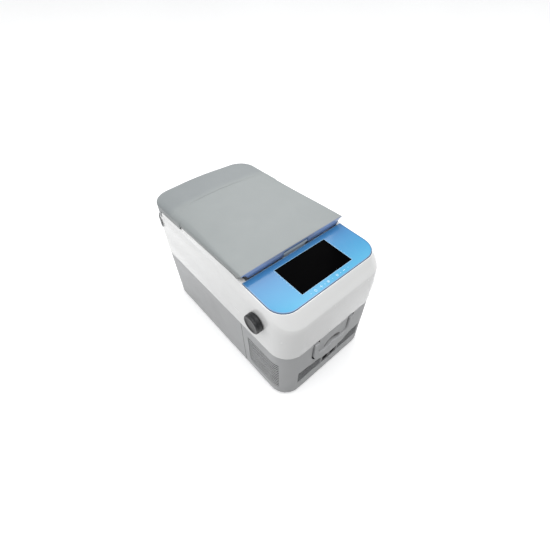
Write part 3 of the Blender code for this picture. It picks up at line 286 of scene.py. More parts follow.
def groove_look(name, col, kind):
    """Body plastic with painted shade in the split line and in the handle pocket."""
    mat = plastic(name, col, rough=0.45, grain=1000.0, mottle=0.03, smudge=0.05)
    t = Tree.__new__(Tree)
    t.mat, t.t = mat, mat.node_tree
    t.bsdf = [n for n in t.t.nodes if n.type == "BSDF_PRINCIPLED"][0]
    t.coord = [n for n in t.t.nodes if n.type == "TEX_COORD"][0].outputs["Object"]
    y, z, x = t.axis("Y"), t.axis("Z"), t.math("ABSOLUTE", t.axis("X"))
    if kind == "tub":
        # painted shade in the split line between the front cover and the rear tub
        split = t.span(t.math("ABSOLUTE", t.math("ADD", y, 0.1175)), 0.0006, 0.0012, 1.0, 0.0)
        front = t.math("SUBTRACT", y, t.math("MULTIPLY_ADD", z, -0.0168, -0.2768))
        rear = t.math("SUBTRACT", t.math("MULTIPLY_ADD", z, 0.0168, 0.2753), y)
        depth = t.math("MINIMUM", front, rear)
        # painted shade deep in the handle pocket
        pocket = t.math("MULTIPLY", t.span(depth, 0.0006, 0.0032), t.span(x, 0.094, 0.099, 1.0, 0.0))
        pocket = t.math("MULTIPLY", pocket, t.span(z, 0.036, 0.040))
        # painted shade follows the inside of the handle in a thin line and rims the top of the finger scoop
        near = t.span(depth, 0.0020, 0.0040, 1.0, 0.0)
        groove = t.math("MULTIPLY", t.span(x, 0.0502, 0.0514), t.span(x, 0.0560, 0.0570, 1.0, 0.0))
        groove = t.math("MULTIPLY", groove, t.span(z, 0.128, 0.133))
        ex = t.math("MULTIPLY", x, 1.0 / 0.0280)
        ez = t.math("MULTIPLY", t.math("ADD", z, -0.1250), 1.0 / 0.0245)
        rad = t.math("SQRT", t.math("ADD", t.math("MULTIPLY", ex, ex), t.math("MULTIPLY", ez, ez)))
        scoop_shade = t.math("MULTIPLY", t.span(rad, 1.12, 1.17, 1.0, 0.0), t.span(z, 0.131, 0.134))
        pocket = t.math("MAXIMUM", pocket, t.math("MULTIPLY", near, t.math("MAXIMUM", groove, scoop_shade)))
        mask = t.math("MAXIMUM", split, pocket)
    else:
        mask = t.span(t.math("ABSOLUTE", y), 0.0038, 0.0062, 1.0, 0.0)
    # near-black painted shade where the mask is 1
    paint_shade(t, 0.78, (0.012, 0.012, 0.013, 1.0), mask)
    return mat


def lid_look():
    """Lid plastic with painted shade along the arc-shaped crease."""
    mat = plastic("lid_top_plastic", srgb(142, 147, 147), rough=0.40, grain=1100.0, mottle=0.025, smudge=0.05)
    t = Tree.__new__(Tree)
    t.mat, t.t = mat, mat.node_tree
    t.bsdf = [n for n in t.t.nodes if n.type == "BSDF_PRINCIPLED"][0]
    t.coord = [n for n in t.t.nodes if n.type == "TEX_COORD"][0].outputs["Object"]
    x, y = t.axis("X"), t.axis("Y")
    arc = t.math("SUBTRACT", y, t.math("MULTIPLY_ADD", t.math("MULTIPLY", x, x), -0.75, 0.1745))
    line = t.span(t.math("ABSOLUTE", arc), 0.0003, 0.0021, 1.0, 0.0)
    # painted shade: the part behind the crease is darkened
    old = t.bsdf.inputs["Base Color"].links[0].from_socket
    t.color(t.mix(t.span(arc, -0.001, 0.028, smooth=True), old, t.mix(1.0, old, (0.87, 0.875, 0.895, 1.0), "MULTIPLY")))
    ends = t.span(t.math("ABSOLUTE", t.math("ADD", x, 0.010)), 0.045, 0.085, 1.0, 0.0, smooth=True)
    # painted shade: a dark line along the crease, fading out towards the sides
    paint_shade(t, 0.75, (0.070, 0.073, 0.077, 1.0), t.math("MULTIPLY", line, ends))
    return mat


PANEL = panel_material()
SCREEN = glass_material()
TUB = groove_look("tub_plastic", srgb(182, 183, 184), "tub")
BAIL = groove_look("handle_plastic", srgb(182, 183, 184), "bail")
LID_TOP = lid_look()
RIM = plastic("rim_lacquer", srgb(122, 160, 200), rough=0.2, grain=1500.0, grain_depth=0.000004, mottle=0.02, smudge=0.04, coat=0.4, coat_rough=0.06)
SLATS = plastic("louvre_plastic", srgb(128, 129, 131), rough=0.5, grain=1000.0, mottle=0.04, smudge=0.05)
PRINT = plastic("printed_edge", srgb(150, 196, 226), rough=0.3, grain=1500.0, grain_depth=0.000004, mottle=0.01, smudge=0.04)

LOOKS = {
    "lid_outer": LID, "upper_housing": WHITE, "base_front_cover": TUB, "base_rear_tub": TUB,
    "front_handle": BAIL, "rear_handle": BAIL, "front_louvre_left": BLACK, "front_louvre_right": BLACK,
    "vent_grille_left": BLACK, "vent_grille_right": BLACK, "hinge_bracket_left": GREY, "hinge_bracket_right": GREY,
    "lid_latch": PADDLE, "panel_fascia": PANEL, "panel_rim": RIM, "display_glass": SCREEN, "display_module": BLACK,
    "strap_stud_left": STUD, "strap_stud_right": STUD, "socket_block": BLACK, "dc_inlet": BLACK, "ac_inlet": BLACK,
    "chamber_liner": LINER, "lid_inner": LINER, "interior_lamp": LINER, "lid_gasket": RUBBER, "foam_body": FOAM, "lid_foam": FOAM,
    "evaporator_sleeve": ALU, "heat_sink": ALU, "condenser": ALU, "compressor": BLACK, "compressor_bracket": STEEL,
    "machine_floor": STEEL, "bulkhead": STEEL, "fan_frame": BLACK, "fan_rotor": BLACK, "filter_drier": COPPER,
    "discharge_pipe": COPPER, "suction_pipe": COPPER, "power_board": BOARD, "latch_pin": STEEL, "latch_spring": STEEL,
    "latch_strike": STEEL, "hinge_arm_left": STEEL, "hinge_arm_right": STEEL, "hinge_pin_left": STEEL, "hinge_pin_right": STEEL,
}
for n, o in NODES.items():
    look = LOOKS.get(n)
    if look is None:
        look = RUBBER if n.startswith(("foot_", "grommet_")) else STEEL
    o.data.materials.clear()
    o.data.materials.append(look)


# ---------------------------------------------------------------- smooth shading of the carried-over solids
def shading_group(name, angle, weld=2e-6):
    """Geometry nodes: joins the loose facets and shades soft edges smooth."""
    g = bpy.data.node_groups.new(name, "GeometryNodeTree")
    g.interface.new_socket("Geometry", in_out="INPUT", socket_type="NodeSocketGeometry")
    g.interface.new_socket("Geometry", in_out="OUTPUT", socket_type="NodeSocketGeometry")
    i = g.nodes.new("NodeGroupInput")
    o = g.nodes.new("NodeGroupOutput")
    rem = g.nodes.new("GeometryNodeRemoveAttribute")
    rem.inputs["Name"].default_value = "custom_normal"
    mer = g.nodes.new("GeometryNodeMergeByDistance")
    mer.inputs["Distance"].default_value = weld
    face = g.nodes.new("GeometryNodeSetShadeSmooth")
    face.domain = "FACE"
    edge = g.nodes.new("GeometryNodeSetShadeSmooth")
    edge.domain = "EDGE"
    edge.inputs["Shade Smooth"].default_value = False
    ang = g.nodes.new("GeometryNodeInputMeshEdgeAngle")
    cmp_ = g.nodes.new("FunctionNodeCompare")
    cmp_.operation = "GREATER_THAN"
    cmp_.inputs[1].default_value = angle
    g.links.new(i.outputs[0], rem.inputs[0])
    g.links.new(rem.outputs[0], mer.inputs[0])
    g.links.new(mer.outputs[0], face.inputs[0])
    g.links.new(face.outputs[0], edge.inputs[0])
    g.links.new(ang.outputs[0], cmp_.inputs[0])
    g.links.new(cmp_.outputs[0], edge.inputs["Selection"])
    g.links.new(edge.outputs[0], o.inputs[0])
    return g


SHADE = shading_group("soft_edges", math.radians(32))
for n, o in NODES.items():
    m = o.modifiers.new("soft_edges", "NODES")
    m.node_group = SHADE


# ---------------------------------------------------------------- pieces built on top of the frame
LID_FRONT_Y, LID_HX, LID_SKIRT_HX, LID_REAR_Y, LID_BOW = -0.1337, 0.1595, 0.1612, 0.2898, 0.0085
LID_TOP_Z, LID_RIM_Z, LID_SKIRT_Z = 0.3645, 0.3485, 0.3192
PANEL_REAR_Y, PANEL_FRONT_Y, PANEL_REAR_Z, PANEL_FRONT_Z = -0.1330, -0.2555, 0.3405, 0.3344
PANEL_HX, PANEL_R = 0.1563, 0.043
DISPLAY_HX, DISPLAY_Y = 0.0800, (-0.2363, -0.1474)


def ease(t):
    t = max(0.0, min(1.0, t))
    return t * t * (3 - 2 * t)


def piece(name, verts, faces, body, look, replaces=(), angle=32.0, outward=True):
    """A mesh from points and faces that rides on one body of the frame."""
    bm = bmesh.new()
    vs = [bm.verts.new(v) for v in verts]
    for f in faces:
        f = [v for k, v in enumerate(f) if v not in f[:k]]
        if len(f) > 2:
            try:
                bm.faces.new([vs[i] for i in f])
            except ValueError:
                pass
    if outward:
        bmesh.ops.recalc_face_normals(bm, faces=bm.faces)
    me = bpy.data.meshes.new(name)
    bm.to_mesh(me)
    bm.free()
    me.materials.append(look)
    me.shade_smooth()
    me.set_sharp_from_angle(angle=math.radians(angle))
    o = bpy.data.objects.new(name, me)
    SCENE.collection.objects.link(o)
    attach(o, body)
    for n in replaces:
        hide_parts(n)
    return o


def loft(rings, closed=False, caps=True):
    """Points and faces of a skin over equally long rings."""
    n = len(rings[0])
    verts = [p for r in rings for p in r]
    faces = []
    for k in range(len(rings) if closed else len(rings) - 1):
        a, b = k * n, ((k + 1) % len(rings)) * n
        for i in range(n):
            j = (i + 1) % n
            faces.append((a + i, a + j, b + j, b + i))
    if caps and not closed:
        faces.append(tuple(range(n)))
        faces.append(tuple((len(rings) - 1) * n + i for i in reversed(range(n))))
    return verts, faces


def join(parts):
    """Several (points, faces) pairs as one."""
    verts, faces = [], []
    for v, f in parts:
        k = len(verts)
        verts += v
        faces += [tuple(i + k for i in g) for g in f]
    return verts, faces


def slab(lo, hi, r=0.0004):
    """A bar between two corners with small chamfers along every edge."""
    (x0, y0, z0), (x1, y1, z1) = lo, hi
    r = min(r, 0.3 * min(x1 - x0, y1 - y0, z1 - z0))
    rings = []
    for z, d in ((z0, r), (z0 + r, 0.0), (z1 - r, 0.0), (z1, r)):
        rings.append([(x0 + d + r, y0 + d, z), (x1 - d - r, y0 + d, z), (x1 - d, y0 + d + r, z), (x1 - d, y1 - d - r, z),
                      (x1 - d - r, y1 - d, z), (x0 + d + r, y1 - d, z), (x0 + d, y1 - d - r, z), (x0 + d, y0 + d + r, z)])
    return loft(rings)


def panel_z(y):
    return PANEL_REAR_Z + (y - PANEL_REAR_Y) * (PANEL_REAR_Z - PANEL_FRONT_Z) / (PANEL_REAR_Y - PANEL_FRONT_Y)


def plan(hx, yf, yr, rf, rr, n=20):
    pts = []
    for cx, cy, r, a0 in ((hx - rf, yf + rf, rf, -90), (hx - rr, yr - rr, rr, 0), (-(hx - rr), yr - rr, rr, 90), (-(hx - rf), yf + rf, rf, 180)):
        for i in range(n + 1):
            a = math.radians(a0 + 90.0 * i / n)
            pts.append((cx + r * math.cos(a), cy + r * math.sin(a)))
    return pts


# -------------------------------------------------- lid: soft rolled sides, crisp front edge, arc crease
COLS = [1.0, 0.96, 0.915, 0.892, 0.86, 0.80, 0.72, 0.63, 0.54, 0.45, 0.36, 0.30, 0.2435, 0.2365, 0.18, 0.12, 0.06]
COLS = COLS + [0.0] + [-u for u in reversed(COLS)]
STATIONS = [-0.1290, -0.1240, -0.1170, -0.1080, -0.0980, -0.0860, -0.0720, -0.0560, -0.0380, -0.0180, 0.0040, 0.0280, 0.0520, 0.0760, 0.0980, 0.1120,
            0.1160, 0.1172, 0.1186, 0.1240, 0.1340, 0.1440, 0.1520, 0.1580, 0.1610, 0.1640, 0.1668, 0.1695, 0.1722, 0.1750, 0.1778, 0.1806, 0.1840,
            0.1900, 0.1980, 0.2060, 0.2130, 0.2180, 0.2212, 0.2222, 0.2234, 0.2246]


def crease_y(x):
    return 0.1745 - 0.75 * x * x


def lid_top(x, y):
    """Crowned top: level in front, a shallow step down along the arc, then a gentle fall to the rear."""
    t = max(0.0, (y - 0.168) / (LID_REAR_Y - 0.168))
    fade = 1.0 - ease((abs(x) - 0.070) / 0.040)
    step = 0.0028 * (0.25 + 0.75 * fade) * ease((y - crease_y(x) + 0.0042) / 0.0084)
    return LID_TOP_Z - 0.0034 * t ** 1.6 - step - 0.0007 * (x / 0.14) ** 2


def lid_fade(y):
    return 0.22 + 0.78 * ease((y - LID_FRONT_Y) / 0.240)


def lid_width(y):
    return LID_HX + (LID_SKIRT_HX - LID_HX) * ease((y - 0.1160) / 0.0026)


def lid_outline(side_in, front_in, rear_in):
    """Half of the outline, front to rear, then mirrored by the caller."""
    right = []
    rf = 0.0020
    for i in range(5):
        a = math.radians(-90 + 22.5 * i)
        k = lid_fade(LID_FRONT_Y)
        right.append((LID_HX - side_in * k - rf + rf * math.cos(a), LID_FRONT_Y + front_in + rf + rf * math.sin(a)))
    for y in STATIONS:
        right.append((lid_width(y) - side_in * lid_fade(y), y))
    rr = LID_REAR_Y - LID_BOW - 0.2250 - rear_in
    hx = LID_SKIRT_HX - side_in
    yr = LID_REAR_Y - rear_in - LID_BOW
    for i in range(19):
        a = math.radians(90.0 * i / 18)
        right.append((hx - rr + rr * math.cos(a), yr - rr + rr * math.sin(a)))
    x0 = right[-1][0]
    for i in range(1, 12):
        x = x0 * (1 - i / 13.0)
        right.append((x, LID_REAR_Y - rear_in - LID_BOW * (x / x0) ** 2))
    return right, x0


def lid_ring(side_in, front_in, rear_in, height):
    """Closed ring with points along the front and rear edges too; height(x, y) gives z."""
    right, x0 = lid_outline(side_in, front_in, rear_in)
    xr, yr = right[-1]
    rear = [(xr * u, LID_REAR_Y - rear_in - LID_BOW * (xr * u / x0) ** 2) for u in COLS[1:-1]]
    xf, yf = right[0]
    front = [(xf * u, yf) for u in reversed(COLS[1:-1])]
    pts = right + rear + [(-x, y) for x, y in reversed(right)] + front
    return [(x, y, height(x, y)) for x, y in pts], len(right)


def lid_rim(x, y):
    if y > 0.2228:
        return LID_SKIRT_Z
    if y > 0.1179:
        return 0.3400
    if y > 0.1100:
        return LID_RIM_Z - 0.0085 * ease((y - 0.1165) / 0.0014)
    z = LID_RIM_Z + 0.0118 * (1.0 - ease((y - LID_FRONT_Y) / 0.016))
    if y < LID_FRONT_Y + 0.0003:
        z = 0.3474 + 0.0128 * ease((abs(x) - 0.1425) / 0.0035)
    return z


def lid_roll(x, y):
    """Depth of the rounded edge below the top."""
    side = lid_top(x, y) - (0.3524 if y < 0.117 else 0.3520)
    if y < 0.106:
        k = lid_fade(y)
        return 0.0011 + (side - 0.0011) * k if y > LID_FRONT_Y + 0.0045 else 0.0011 + 0.0006
    return side


def build_lid():
    a_side, a_front, a_rear = 0.0185, 0.0011, 0.0215
    rings = []

    def under(x, y):
        return lid_top(x, y) - lid_roll(x, y)
    r, n = lid_ring(0, 0, 0, lid_rim)
    rings.append(r)
    r, n = lid_ring(0, 0, 0, lambda x, y: max(lid_rim(x, y) + 0.0004, lid_rim(x, y) + 0.62 * (under(x, y) - lid_rim(x, y))))
    rings.append(r)
    steps = 14
    for k in range(steps + 1):
        th = math.radians(90.0 * k / steps)
        c, s = 1 - math.cos(th), 1 - math.sin(th)
        r, n = lid_ring(a_side * c, a_front * c, a_rear * c, lambda x, y, s=s: max(lid_top(x, y) - lid_roll(x, y) * s, lid_rim(x, y) + 0.0010))
        rings.append(r)
    count = len(rings[0])
    verts = [p for r in rings for p in r]
    m = len(COLS)
    faces = []
    for k in range(len(rings) - 1):
        a, b = k * count, (k + 1) * count
        for i in range(count):
            j = (i + 1) % count
            p, q = verts[a + i], verts[a + j]
            if k == 0 and p[1] < LID_FRONT_Y + 0.0002 and q[1] < LID_FRONT_Y + 0.0002 and max(abs(p[0]), abs(q[0])) < 0.0392:
                continue
            faces.append((a + i, a + j, b + j, b + i))
    # the top, row by row from the front edge to the rear edge
    base = (len(rings) - 1) * count
    inner = rings[-1]

    def index(i, j):
        """Vertex of row i, column j on the top."""
        if j == 0:
            return base + i
        if j == m - 1:
            return base + n + (m - 2) + (n - 1 - i)
        if i == 0:
            return base + n + (m - 2) + n + (m - 2) - j
        if i == n - 1:
            return base + n + (j - 1)
        return grid[(i, j)]
    grid = {}
    for i in range(1, n - 1):
        x0, y0, _ = inner[i]
        for j in range(1, m - 1):
            x = x0 * COLS[j]
            grid[(i, j)] = len(verts)
            verts.append((x, y0, lid_top(x, y0)))
    for i in range(n - 1):
        for j in range(m - 1):
            faces.append((index(i, j), index(i, j + 1), index(i + 1, j + 1), index(i + 1, j)))
    o = piece("lid_shell", verts, faces, "lid", LID_TOP, ("lid_outer",), angle=34)
    # faces point up and out, so the wall grows inwards
    up = sum(p.normal.z * p.area for p in o.data.polygons)
    if up < 0:
        o.data.flip_normals()
    # the crisp front edge is polished and carries a painted blue reflection of the panel, the rest is satin
    o.data.materials.append(LID_EDGE_PAINTED_BLUE)
    for p in o.data.polygons:
        if p.center.y < LID_FRONT_Y + 0.0035 and p.normal.y < -0.75 and p.center.z < 0.3637:
            p.material_index = 1
    s = o.modifiers.new("wall", "SOLIDIFY")
    s.thickness = 0.0022
    s.offset = -1.0
    s.use_even_offset = False
    return o


build_lid()


# latch paddle seen in the recess of the front edge
def build_paddle():
    parts = []
    xs = [-0.0374 + 0.0748 * i / 16 for i in range(17)]
    prof = [(-0.1322, 0.3481), (-0.1326, 0.3490), (-0.1326, 0.3545), (-0.1321, 0.3556), (-0.1305, 0.3562), (-0.1290, 0.3556), (-0.1300, 0.3540), (-0.1304, 0.3500), (-0.1308, 0.3482)]
    rings = []
    for x in xs:
        d = 0.0006 * ease((abs(x) - 0.0350) / 0.0024)
        rings.append([(x, y + d, z) for y, z in prof])
    parts.append(loft(rings))
    parts.append(slab((-0.0300, -0.1310, 0.3490), (0.0300, -0.1262, 0.3530)))
    v, f = join(parts)
    piece("latch_face", v, f, "latch", PADDLE)


build_paddle()


# -------------------------------------------------- control panel: edge band, joint line, display frame, touch marks
def strip_ring(outer, inner, top, bottom, r=0.00015):
    """A band between two outlines of equal length on the sloping panel plane."""
    rings = []
    for o_, d, h in ((outer, 0, bottom), (outer, 0, top - r), (outer, 1, top), (inner, 1, top), (inner, 0, top - r), (inner, 0, bottom)):
        rings.append([(x, y, panel_z(y) + h) for x, y in o_])
    return loft(rings, closed=True)


def build_panel_trim():
    # dark joint line between the sheet and the white shell
    out = plan(PANEL_HX + 0.0009, PANEL_FRONT_Y - 0.0009, PANEL_REAR_Y + 0.0008, PANEL_R + 0.0009, 0.0020)
    inn = plan(PANEL_HX + 0.00005, PANEL_FRONT_Y - 0.00005, PANEL_REAR_Y + 0.0007, PANEL_R, 0.0018)
    v, f = strip_ring(out, inn, -0.0026, -0.0031)
    piece("panel_joint", v, f, "root", RUBBER)
    # thin pale frame printed round the display
    w = 0.0005
    o_ = plan(DISPLAY_HX + 0.0004 + w, DISPLAY_Y[0] - 0.0004 - w, DISPLAY_Y[1] + 0.0004 + w, 0.0006, 0.0006, 3)
    i_ = plan(DISPLAY_HX - 0.0001, DISPLAY_Y[0] + 0.0001, DISPLAY_Y[1] - 0.0001, 0.0003, 0.0003, 3)
    v, f = strip_ring(o_, i_, 0.00022, -0.00005, 0.00006)
    piece("display_frame", v, f, "root", PRINT)


def ring_mark(cx, cy, r0, r1, a0=0.0, a1=360.0, n=28):
    """A flat ring or arc on the panel."""
    full = a1 - a0 >= 359.9
    rows = []
    count = n if full else n + 1
    for i in range(count):
        a = math.radians(a0 + (a1 - a0) * i / n)
        c, s = math.cos(a), math.sin(a)
        rows.append(((cx + r0 * c, cy + r0 * s), (cx + r1 * c, cy + r1 * s)))
    return extrude_quads(rows, full)


def extrude_quads(rows, closed=False):
    """A thin raised band through pairs of points."""
    lo, hi = 0.00002, 0.00016
    verts, faces = [], []
    for a, b in rows:
        for p, h in ((a, lo), (b, lo), (b, hi), (a, hi)):
            verts.append((p[0], p[1], panel_z(p[1]) + h))
    n = len(rows)
    for i in range(n if closed else n - 1):
        a, b = 4 * i, 4 * ((i + 1) % n)
        for k in range(4):
            l = (k + 1) % 4
            faces.append((a + k, a + l, b + l, b + k))
    if not closed:
        faces.append((0, 1, 2, 3))
        faces.append((4 * n - 1, 4 * n - 2, 4 * n - 3, 4 * n - 4))
    return verts, faces


def bar_mark(x0, y0, x1, y1, w):
    d = Vector((x1 - x0, y1 - y0))
    d.normalize()
    q = Vector((-d.y, d.x)) * (w / 2)
    return extrude_quads([((x0 - q.x, y0 - q.y), (x0 + q.x, y0 + q.y)), ((x1 - q.x, y1 - q.y), (x1 + q.x, y1 + q.y))])


def build_marks():
    y = -0.2462
    parts = []
    # power sign
    x = -0.0500
    parts.append(ring_mark(x, y, 0.0022, 0.0031, 115, 425))
    parts.append(bar_mark(x, y + 0.0002, x, y + 0.0040, 0.0009))
    # plus and minus
    x = -0.0330
    parts.append(bar_mark(x - 0.0030, y, x + 0.0030, y, 0.0011))
    parts.append(bar_mark(x, y - 0.0030, x, y + 0.0030, 0.0011))
    x = 0.0405
    parts.append(bar_mark(x - 0.0032, y, x + 0.0032, y, 0.0012))
    # snow crystal
    x = -0.0110
    for a in (0, 60, 120):
        c, s = math.cos(math.radians(a + 30)), math.sin(math.radians(a + 30))
        parts.append(bar_mark(x - 0.0034 * c, y - 0.0034 * s, x + 0.0034 * c, y + 0.0034 * s, 0.0008))
        for k in (-1, 1):
            for d in (-1, 1):
                px, py = x + k * 0.0022 * c, y + k * 0.0022 * s
                b = math.radians(a + 30 + d * 50)
                parts.append(bar_mark(px, py, px + k * 0.0013 * math.cos(b), py + k * 0.0013 * math.sin(b), 0.0006))
    # lamp with rays
    x = 0.0175
    parts.append(ring_mark(x, y, 0.0014, 0.0022))
    for i in range(8):
        c, s = math.cos(math.radians(45 * i)), math.sin(math.radians(45 * i))
        parts.append(bar_mark(x + 0.0028 * c, y + 0.0028 * s, x + 0.0040 * c, y + 0.0040 * s, 0.0006))
    # small dots between the signs
    for x in (-0.0640, -0.0220, 0.0030, 0.0290, 0.0540):
        parts.append(ring_mark(x, y, 0.00005, 0.0008, n=14))
    # short ticks outside the display frame
    for i in range(9):
        t = i / 8.0
        yy = DISPLAY_Y[0] + 0.006 + (DISPLAY_Y[1] - DISPLAY_Y[0] - 0.012) * t
        parts.append(bar_mark(-DISPLAY_HX - 0.0026, yy - 0.0010, -DISPLAY_HX - 0.0026, yy + 0.0010, 0.0006))
        parts.append(bar_mark(DISPLAY_HX + 0.0026, yy - 0.0010, DISPLAY_HX + 0.0026, yy + 0.0010, 0.0006))
    v, f = join(parts)
    piece("touch_marks", v, f, "root", MARK)


build_panel_trim()
build_marks()


# -------------------------------------------------- grilles: fine slats in front of the frame's plates
BASE_LOW, BASE_TOP, SEAM_Z = (0.1618, -0.2770, 0.2755, 0.050), (0.1645, -0.2800, 0.2785, 0.054), 0.188


def base_plan(z):
    t = (z - 0.0095) / (SEAM_Z - 0.0095)
    return [a + (b - a) * t for a, b in zip(BASE_LOW, BASE_TOP)]


def base_x(y, z, off=0.0):
    hx, yf, yr, r = base_plan(z)
    cy = yf + r
    if y >= cy:
        return hx - off
    return hx - r + math.sqrt(max((r - off) ** 2 - (y - cy) ** 2, 0.0))


def base_y(x, z, off=0.0):
    hx, yf, yr, r = base_plan(z)
    cx = hx - r
    if abs(x) <= cx:
        return yf + off
    return yf + r - math.sqrt(max((r - off) ** 2 - (abs(x) - cx) ** 2, 0.0))


def slat(path, prof):
    """A bar along a path; path gives (point, outward) per step, prof is (depth, height)."""
    rings = []
    for p, o_ in path:
        rings.append([(p[0] - o_[0] * d, p[1] - o_[1] * d, p[2] + h) for d, h in prof])
    return loft(rings)


SLAT = [(0.0003, -0.0021), (0.0001, -0.0018), (0.0001, 0.0018), (0.0003, 0.0021), (0.0007, 0.0022), (0.0009, 0.0019), (0.0009, -0.0018), (0.0007, -0.0021)]
SLAT_FINE = [(0.0003, -0.0017), (0.0001, -0.0014), (0.0001, 0.0013), (0.0003, 0.0016), (0.0007, 0.0017), (0.0009, 0.0014), (0.0009, -0.0014), (0.0007, -0.0017)]


def build_side_vent(s, tag):
    parts = []
    z = 0.0395
    pitch = 0.0092
    k = 0
    while z < 0.1520:
        # the opening has rounded corners, so the end slats are a little shorter
        edge = min(z - 0.0340, 0.1550 - z)
        cut = 0.007 - math.sqrt(max(0.0, 0.007 ** 2 - max(0.0, 0.007 - edge) ** 2))
        y0, y1 = -0.2496 + cut, -0.1404 - cut
        path = []
        for i in range(25):
            y = y0 + (y1 - y0) * i / 24
            x = base_x(y, z, 0.0)
            hx, yf, yr, r = base_plan(z)
            cy = yf + r
            if y < cy:
                n = Vector((x - (hx - r), y - cy, 0))
                n.normalize()
            else:
                n = Vector((1, 0, 0))
            path.append(((s * (x - 0.0006 * n.x), y - 0.0006 * n.y, z), (s * n.x, n.y)))
        parts.append(slat(path, SLAT))
        z += pitch
        k += 1
    v, f = join(parts)
    piece("vent_slats_" + tag, v, f, "root", GREY)


def build_front_slats(s, tag):
    parts = []
    z = 0.0500
    while z < 0.0960:
        x1 = 0.1160
        x0 = 0.0334
        top = lambda x: 0.0818 + 0.0162 * (abs(x) - 0.0330) / 0.0835
        if z > 0.0800:
            # the upper slats only run where the opening is tall enough
            xs = [0.0334 + 0.0005 * i for i in range(165)]
            ok = [x for x in xs if top(x) > z + 0.0040]
            if not ok or ok[0] > x1 - 0.004:
                break
            x0 = ok[0]
        if z > 0.0925:
            x1 = 0.1145
        path = []
        for i in range(19):
            x = x0 + (x1 - x0) * i / 18
            y = base_y(x, z, 0.0)
            hx, yf, yr, r = base_plan(z)
            cx = hx - r
            if x > cx:
                n = Vector((x - cx, y - (yf + r), 0))
                n.normalize()
            else:
                n = Vector((0, -1, 0))
            path.append(((s * (x - 0.0006 * n.x), y - 0.0006 * n.y, z), (s * n.x, n.y)))
        parts.append(slat(path, SLAT_FINE))
        z += 0.0080
    v, f = join(parts)
    piece("front_slats_" + tag, v, f, "root", SLATS)


for side, tag in ((1, "right"), (-1, "left")):
    build_side_vent(side, tag)
    build_front_slats(side, tag)


# -------------------------------------------------- strap studs: grip grooves and a dished face
def build_stud(s, tag):
    sy, sz, hx = -0.1860, 0.2695, 0.1652
    prof = [(0.0262, 0.0002), (0.0278, 0.0006), (0.0284, 0.0014), (0.0285, 0.0022), (0.0285, 0.0070), (0.0283, 0.0078), (0.0275, 0.0084), (0.0272, 0.0090),
            (0.0272, 0.0096), (0.0275, 0.0102), (0.0281, 0.0108), (0.0283, 0.0116), (0.0281, 0.0150), (0.0276, 0.0162), (0.0266, 0.0170), (0.0252, 0.0174),
            (0.0222, 0.0174), (0.0212, 0.0171), (0.0206, 0.0164), (0.0200, 0.0160), (0.0120, 0.0158), (0.0040, 0.0158)]
    n = 96
    rings = []
    for r, h in prof:
        row = []
        r *= 0.86
        for i in range(n):
            a = 2 * math.pi * i / n
            # six shallow finger flats round the head
            flat = 0.0
            if 0.0104 < h < 0.0168 and r > 0.0206:
                flat = 0.0007 * max(0.0, math.cos(6 * a)) ** 3
            row.append((s * (hx + h), sy + (r - flat) * math.cos(a), sz + (r - flat) * math.sin(a)))
        rings.append(row)
    v, f = loft(rings)
    piece("strap_knob_" + tag, v, f, "root", STUD, ("strap_stud_" + tag,), angle=40)


for side, tag in ((1, "right"), (-1, "left")):
    build_stud(side, tag)


# -------------------------------------------------- socket details: rims, a pale frame and bright contacts
def rounded(x0, x1, z0, z1, r, n=6):
    pts = []
    for cx, cz, a0 in ((x1 - r, z0 + r, -90), (x1 - r, z1 - r, 0), (x0 + r, z1 - r, 90), (x0 + r, z0 + r, 180)):
        for i in range(n + 1):
            a = math.radians(a0 + 90.0 * i / n)
            pts.append((cx + r * math.cos(a), cz + r * math.sin(a)))
    return pts


def build_sockets():
    y0 = base_y(0, 0.062) + 0.0012
    parts, bright = [], []
    for x, w, h, r in ((-0.0140, 0.0106, 0.0107, 0.0030), (0.0140, 0.0106, 0.0107, 0.0068)):
        zc = 0.06175
        outer = rounded(x - w, x + w, zc - h, zc + h, 0.0016)
        inner = rounded(x - w + 0.0017, x + w - 0.0017, zc - h + 0.0031, zc + h - 0.0031, min(r, 0.0068))
        rings = [[(p[0], y0 + 0.0007, p[1]) for p in outer], [(p[0], y0 + 0.0001, p[1]) for p in outer],
                 [(p[0], y0 - 0.0001, p[1]) for p in inset_loop(outer, x, zc, 0.0003)], [(p[0], y0 - 0.0001, p[1]) for p in inset_loop(inner, x, zc, -0.0003)],
                 [(p[0], y0 + 0.0002, p[1]) for p in inner], [(p[0], y0 + 0.0007, p[1]) for p in inner]]
        parts.append(loft(rings, closed=True))
        for k in (-1, 1):
            px = x + k * 0.0042
            ring = []
            for yy, rad in ((0.0052, 0.0004), (0.0046, 0.0011), (0.0048, 0.0013), (0.0130, 0.0013)):
                ring.append([(px + rad * math.cos(2 * math.pi * i / 16), y0 + yy, zc + rad * math.sin(2 * math.pi * i / 16)) for i in range(16)])
            bright.append(loft(ring))
    v, f = join(parts)
    piece("socket_bezels", v, f, "root", GREY_DARK)
    # pale frame round the socket opening, following the sloping wall
    rings = []
    for d, out in ((0.0003, -0.0004), (0.0003, 0.0005), (0.0006, 0.0008), (0.0022, 0.0008), (0.0026, 0.0005), (0.0026, -0.0004)):
        rings.append([(px, base_y(px, pz) - out, pz) for px, pz in rounded(-0.0295 - d, 0.0295 + d, 0.0460 - d, 0.0775 + d, 0.0010 + d)])
    v, f = loft(rings, closed=True)
    piece("socket_frame", v, f, "root", GREY)
    v, f = join(bright)
    piece("socket_contacts", v, f, "root", STEEL)


def inset_loop(pts, cx, cz, d):
    out = []
    for x, z in pts:
        v = Vector((x - cx, z - cz))
        k = (v.length - d) / v.length
        out.append((cx + v.x * k, cz + v.y * k))
    return out


build_sockets()
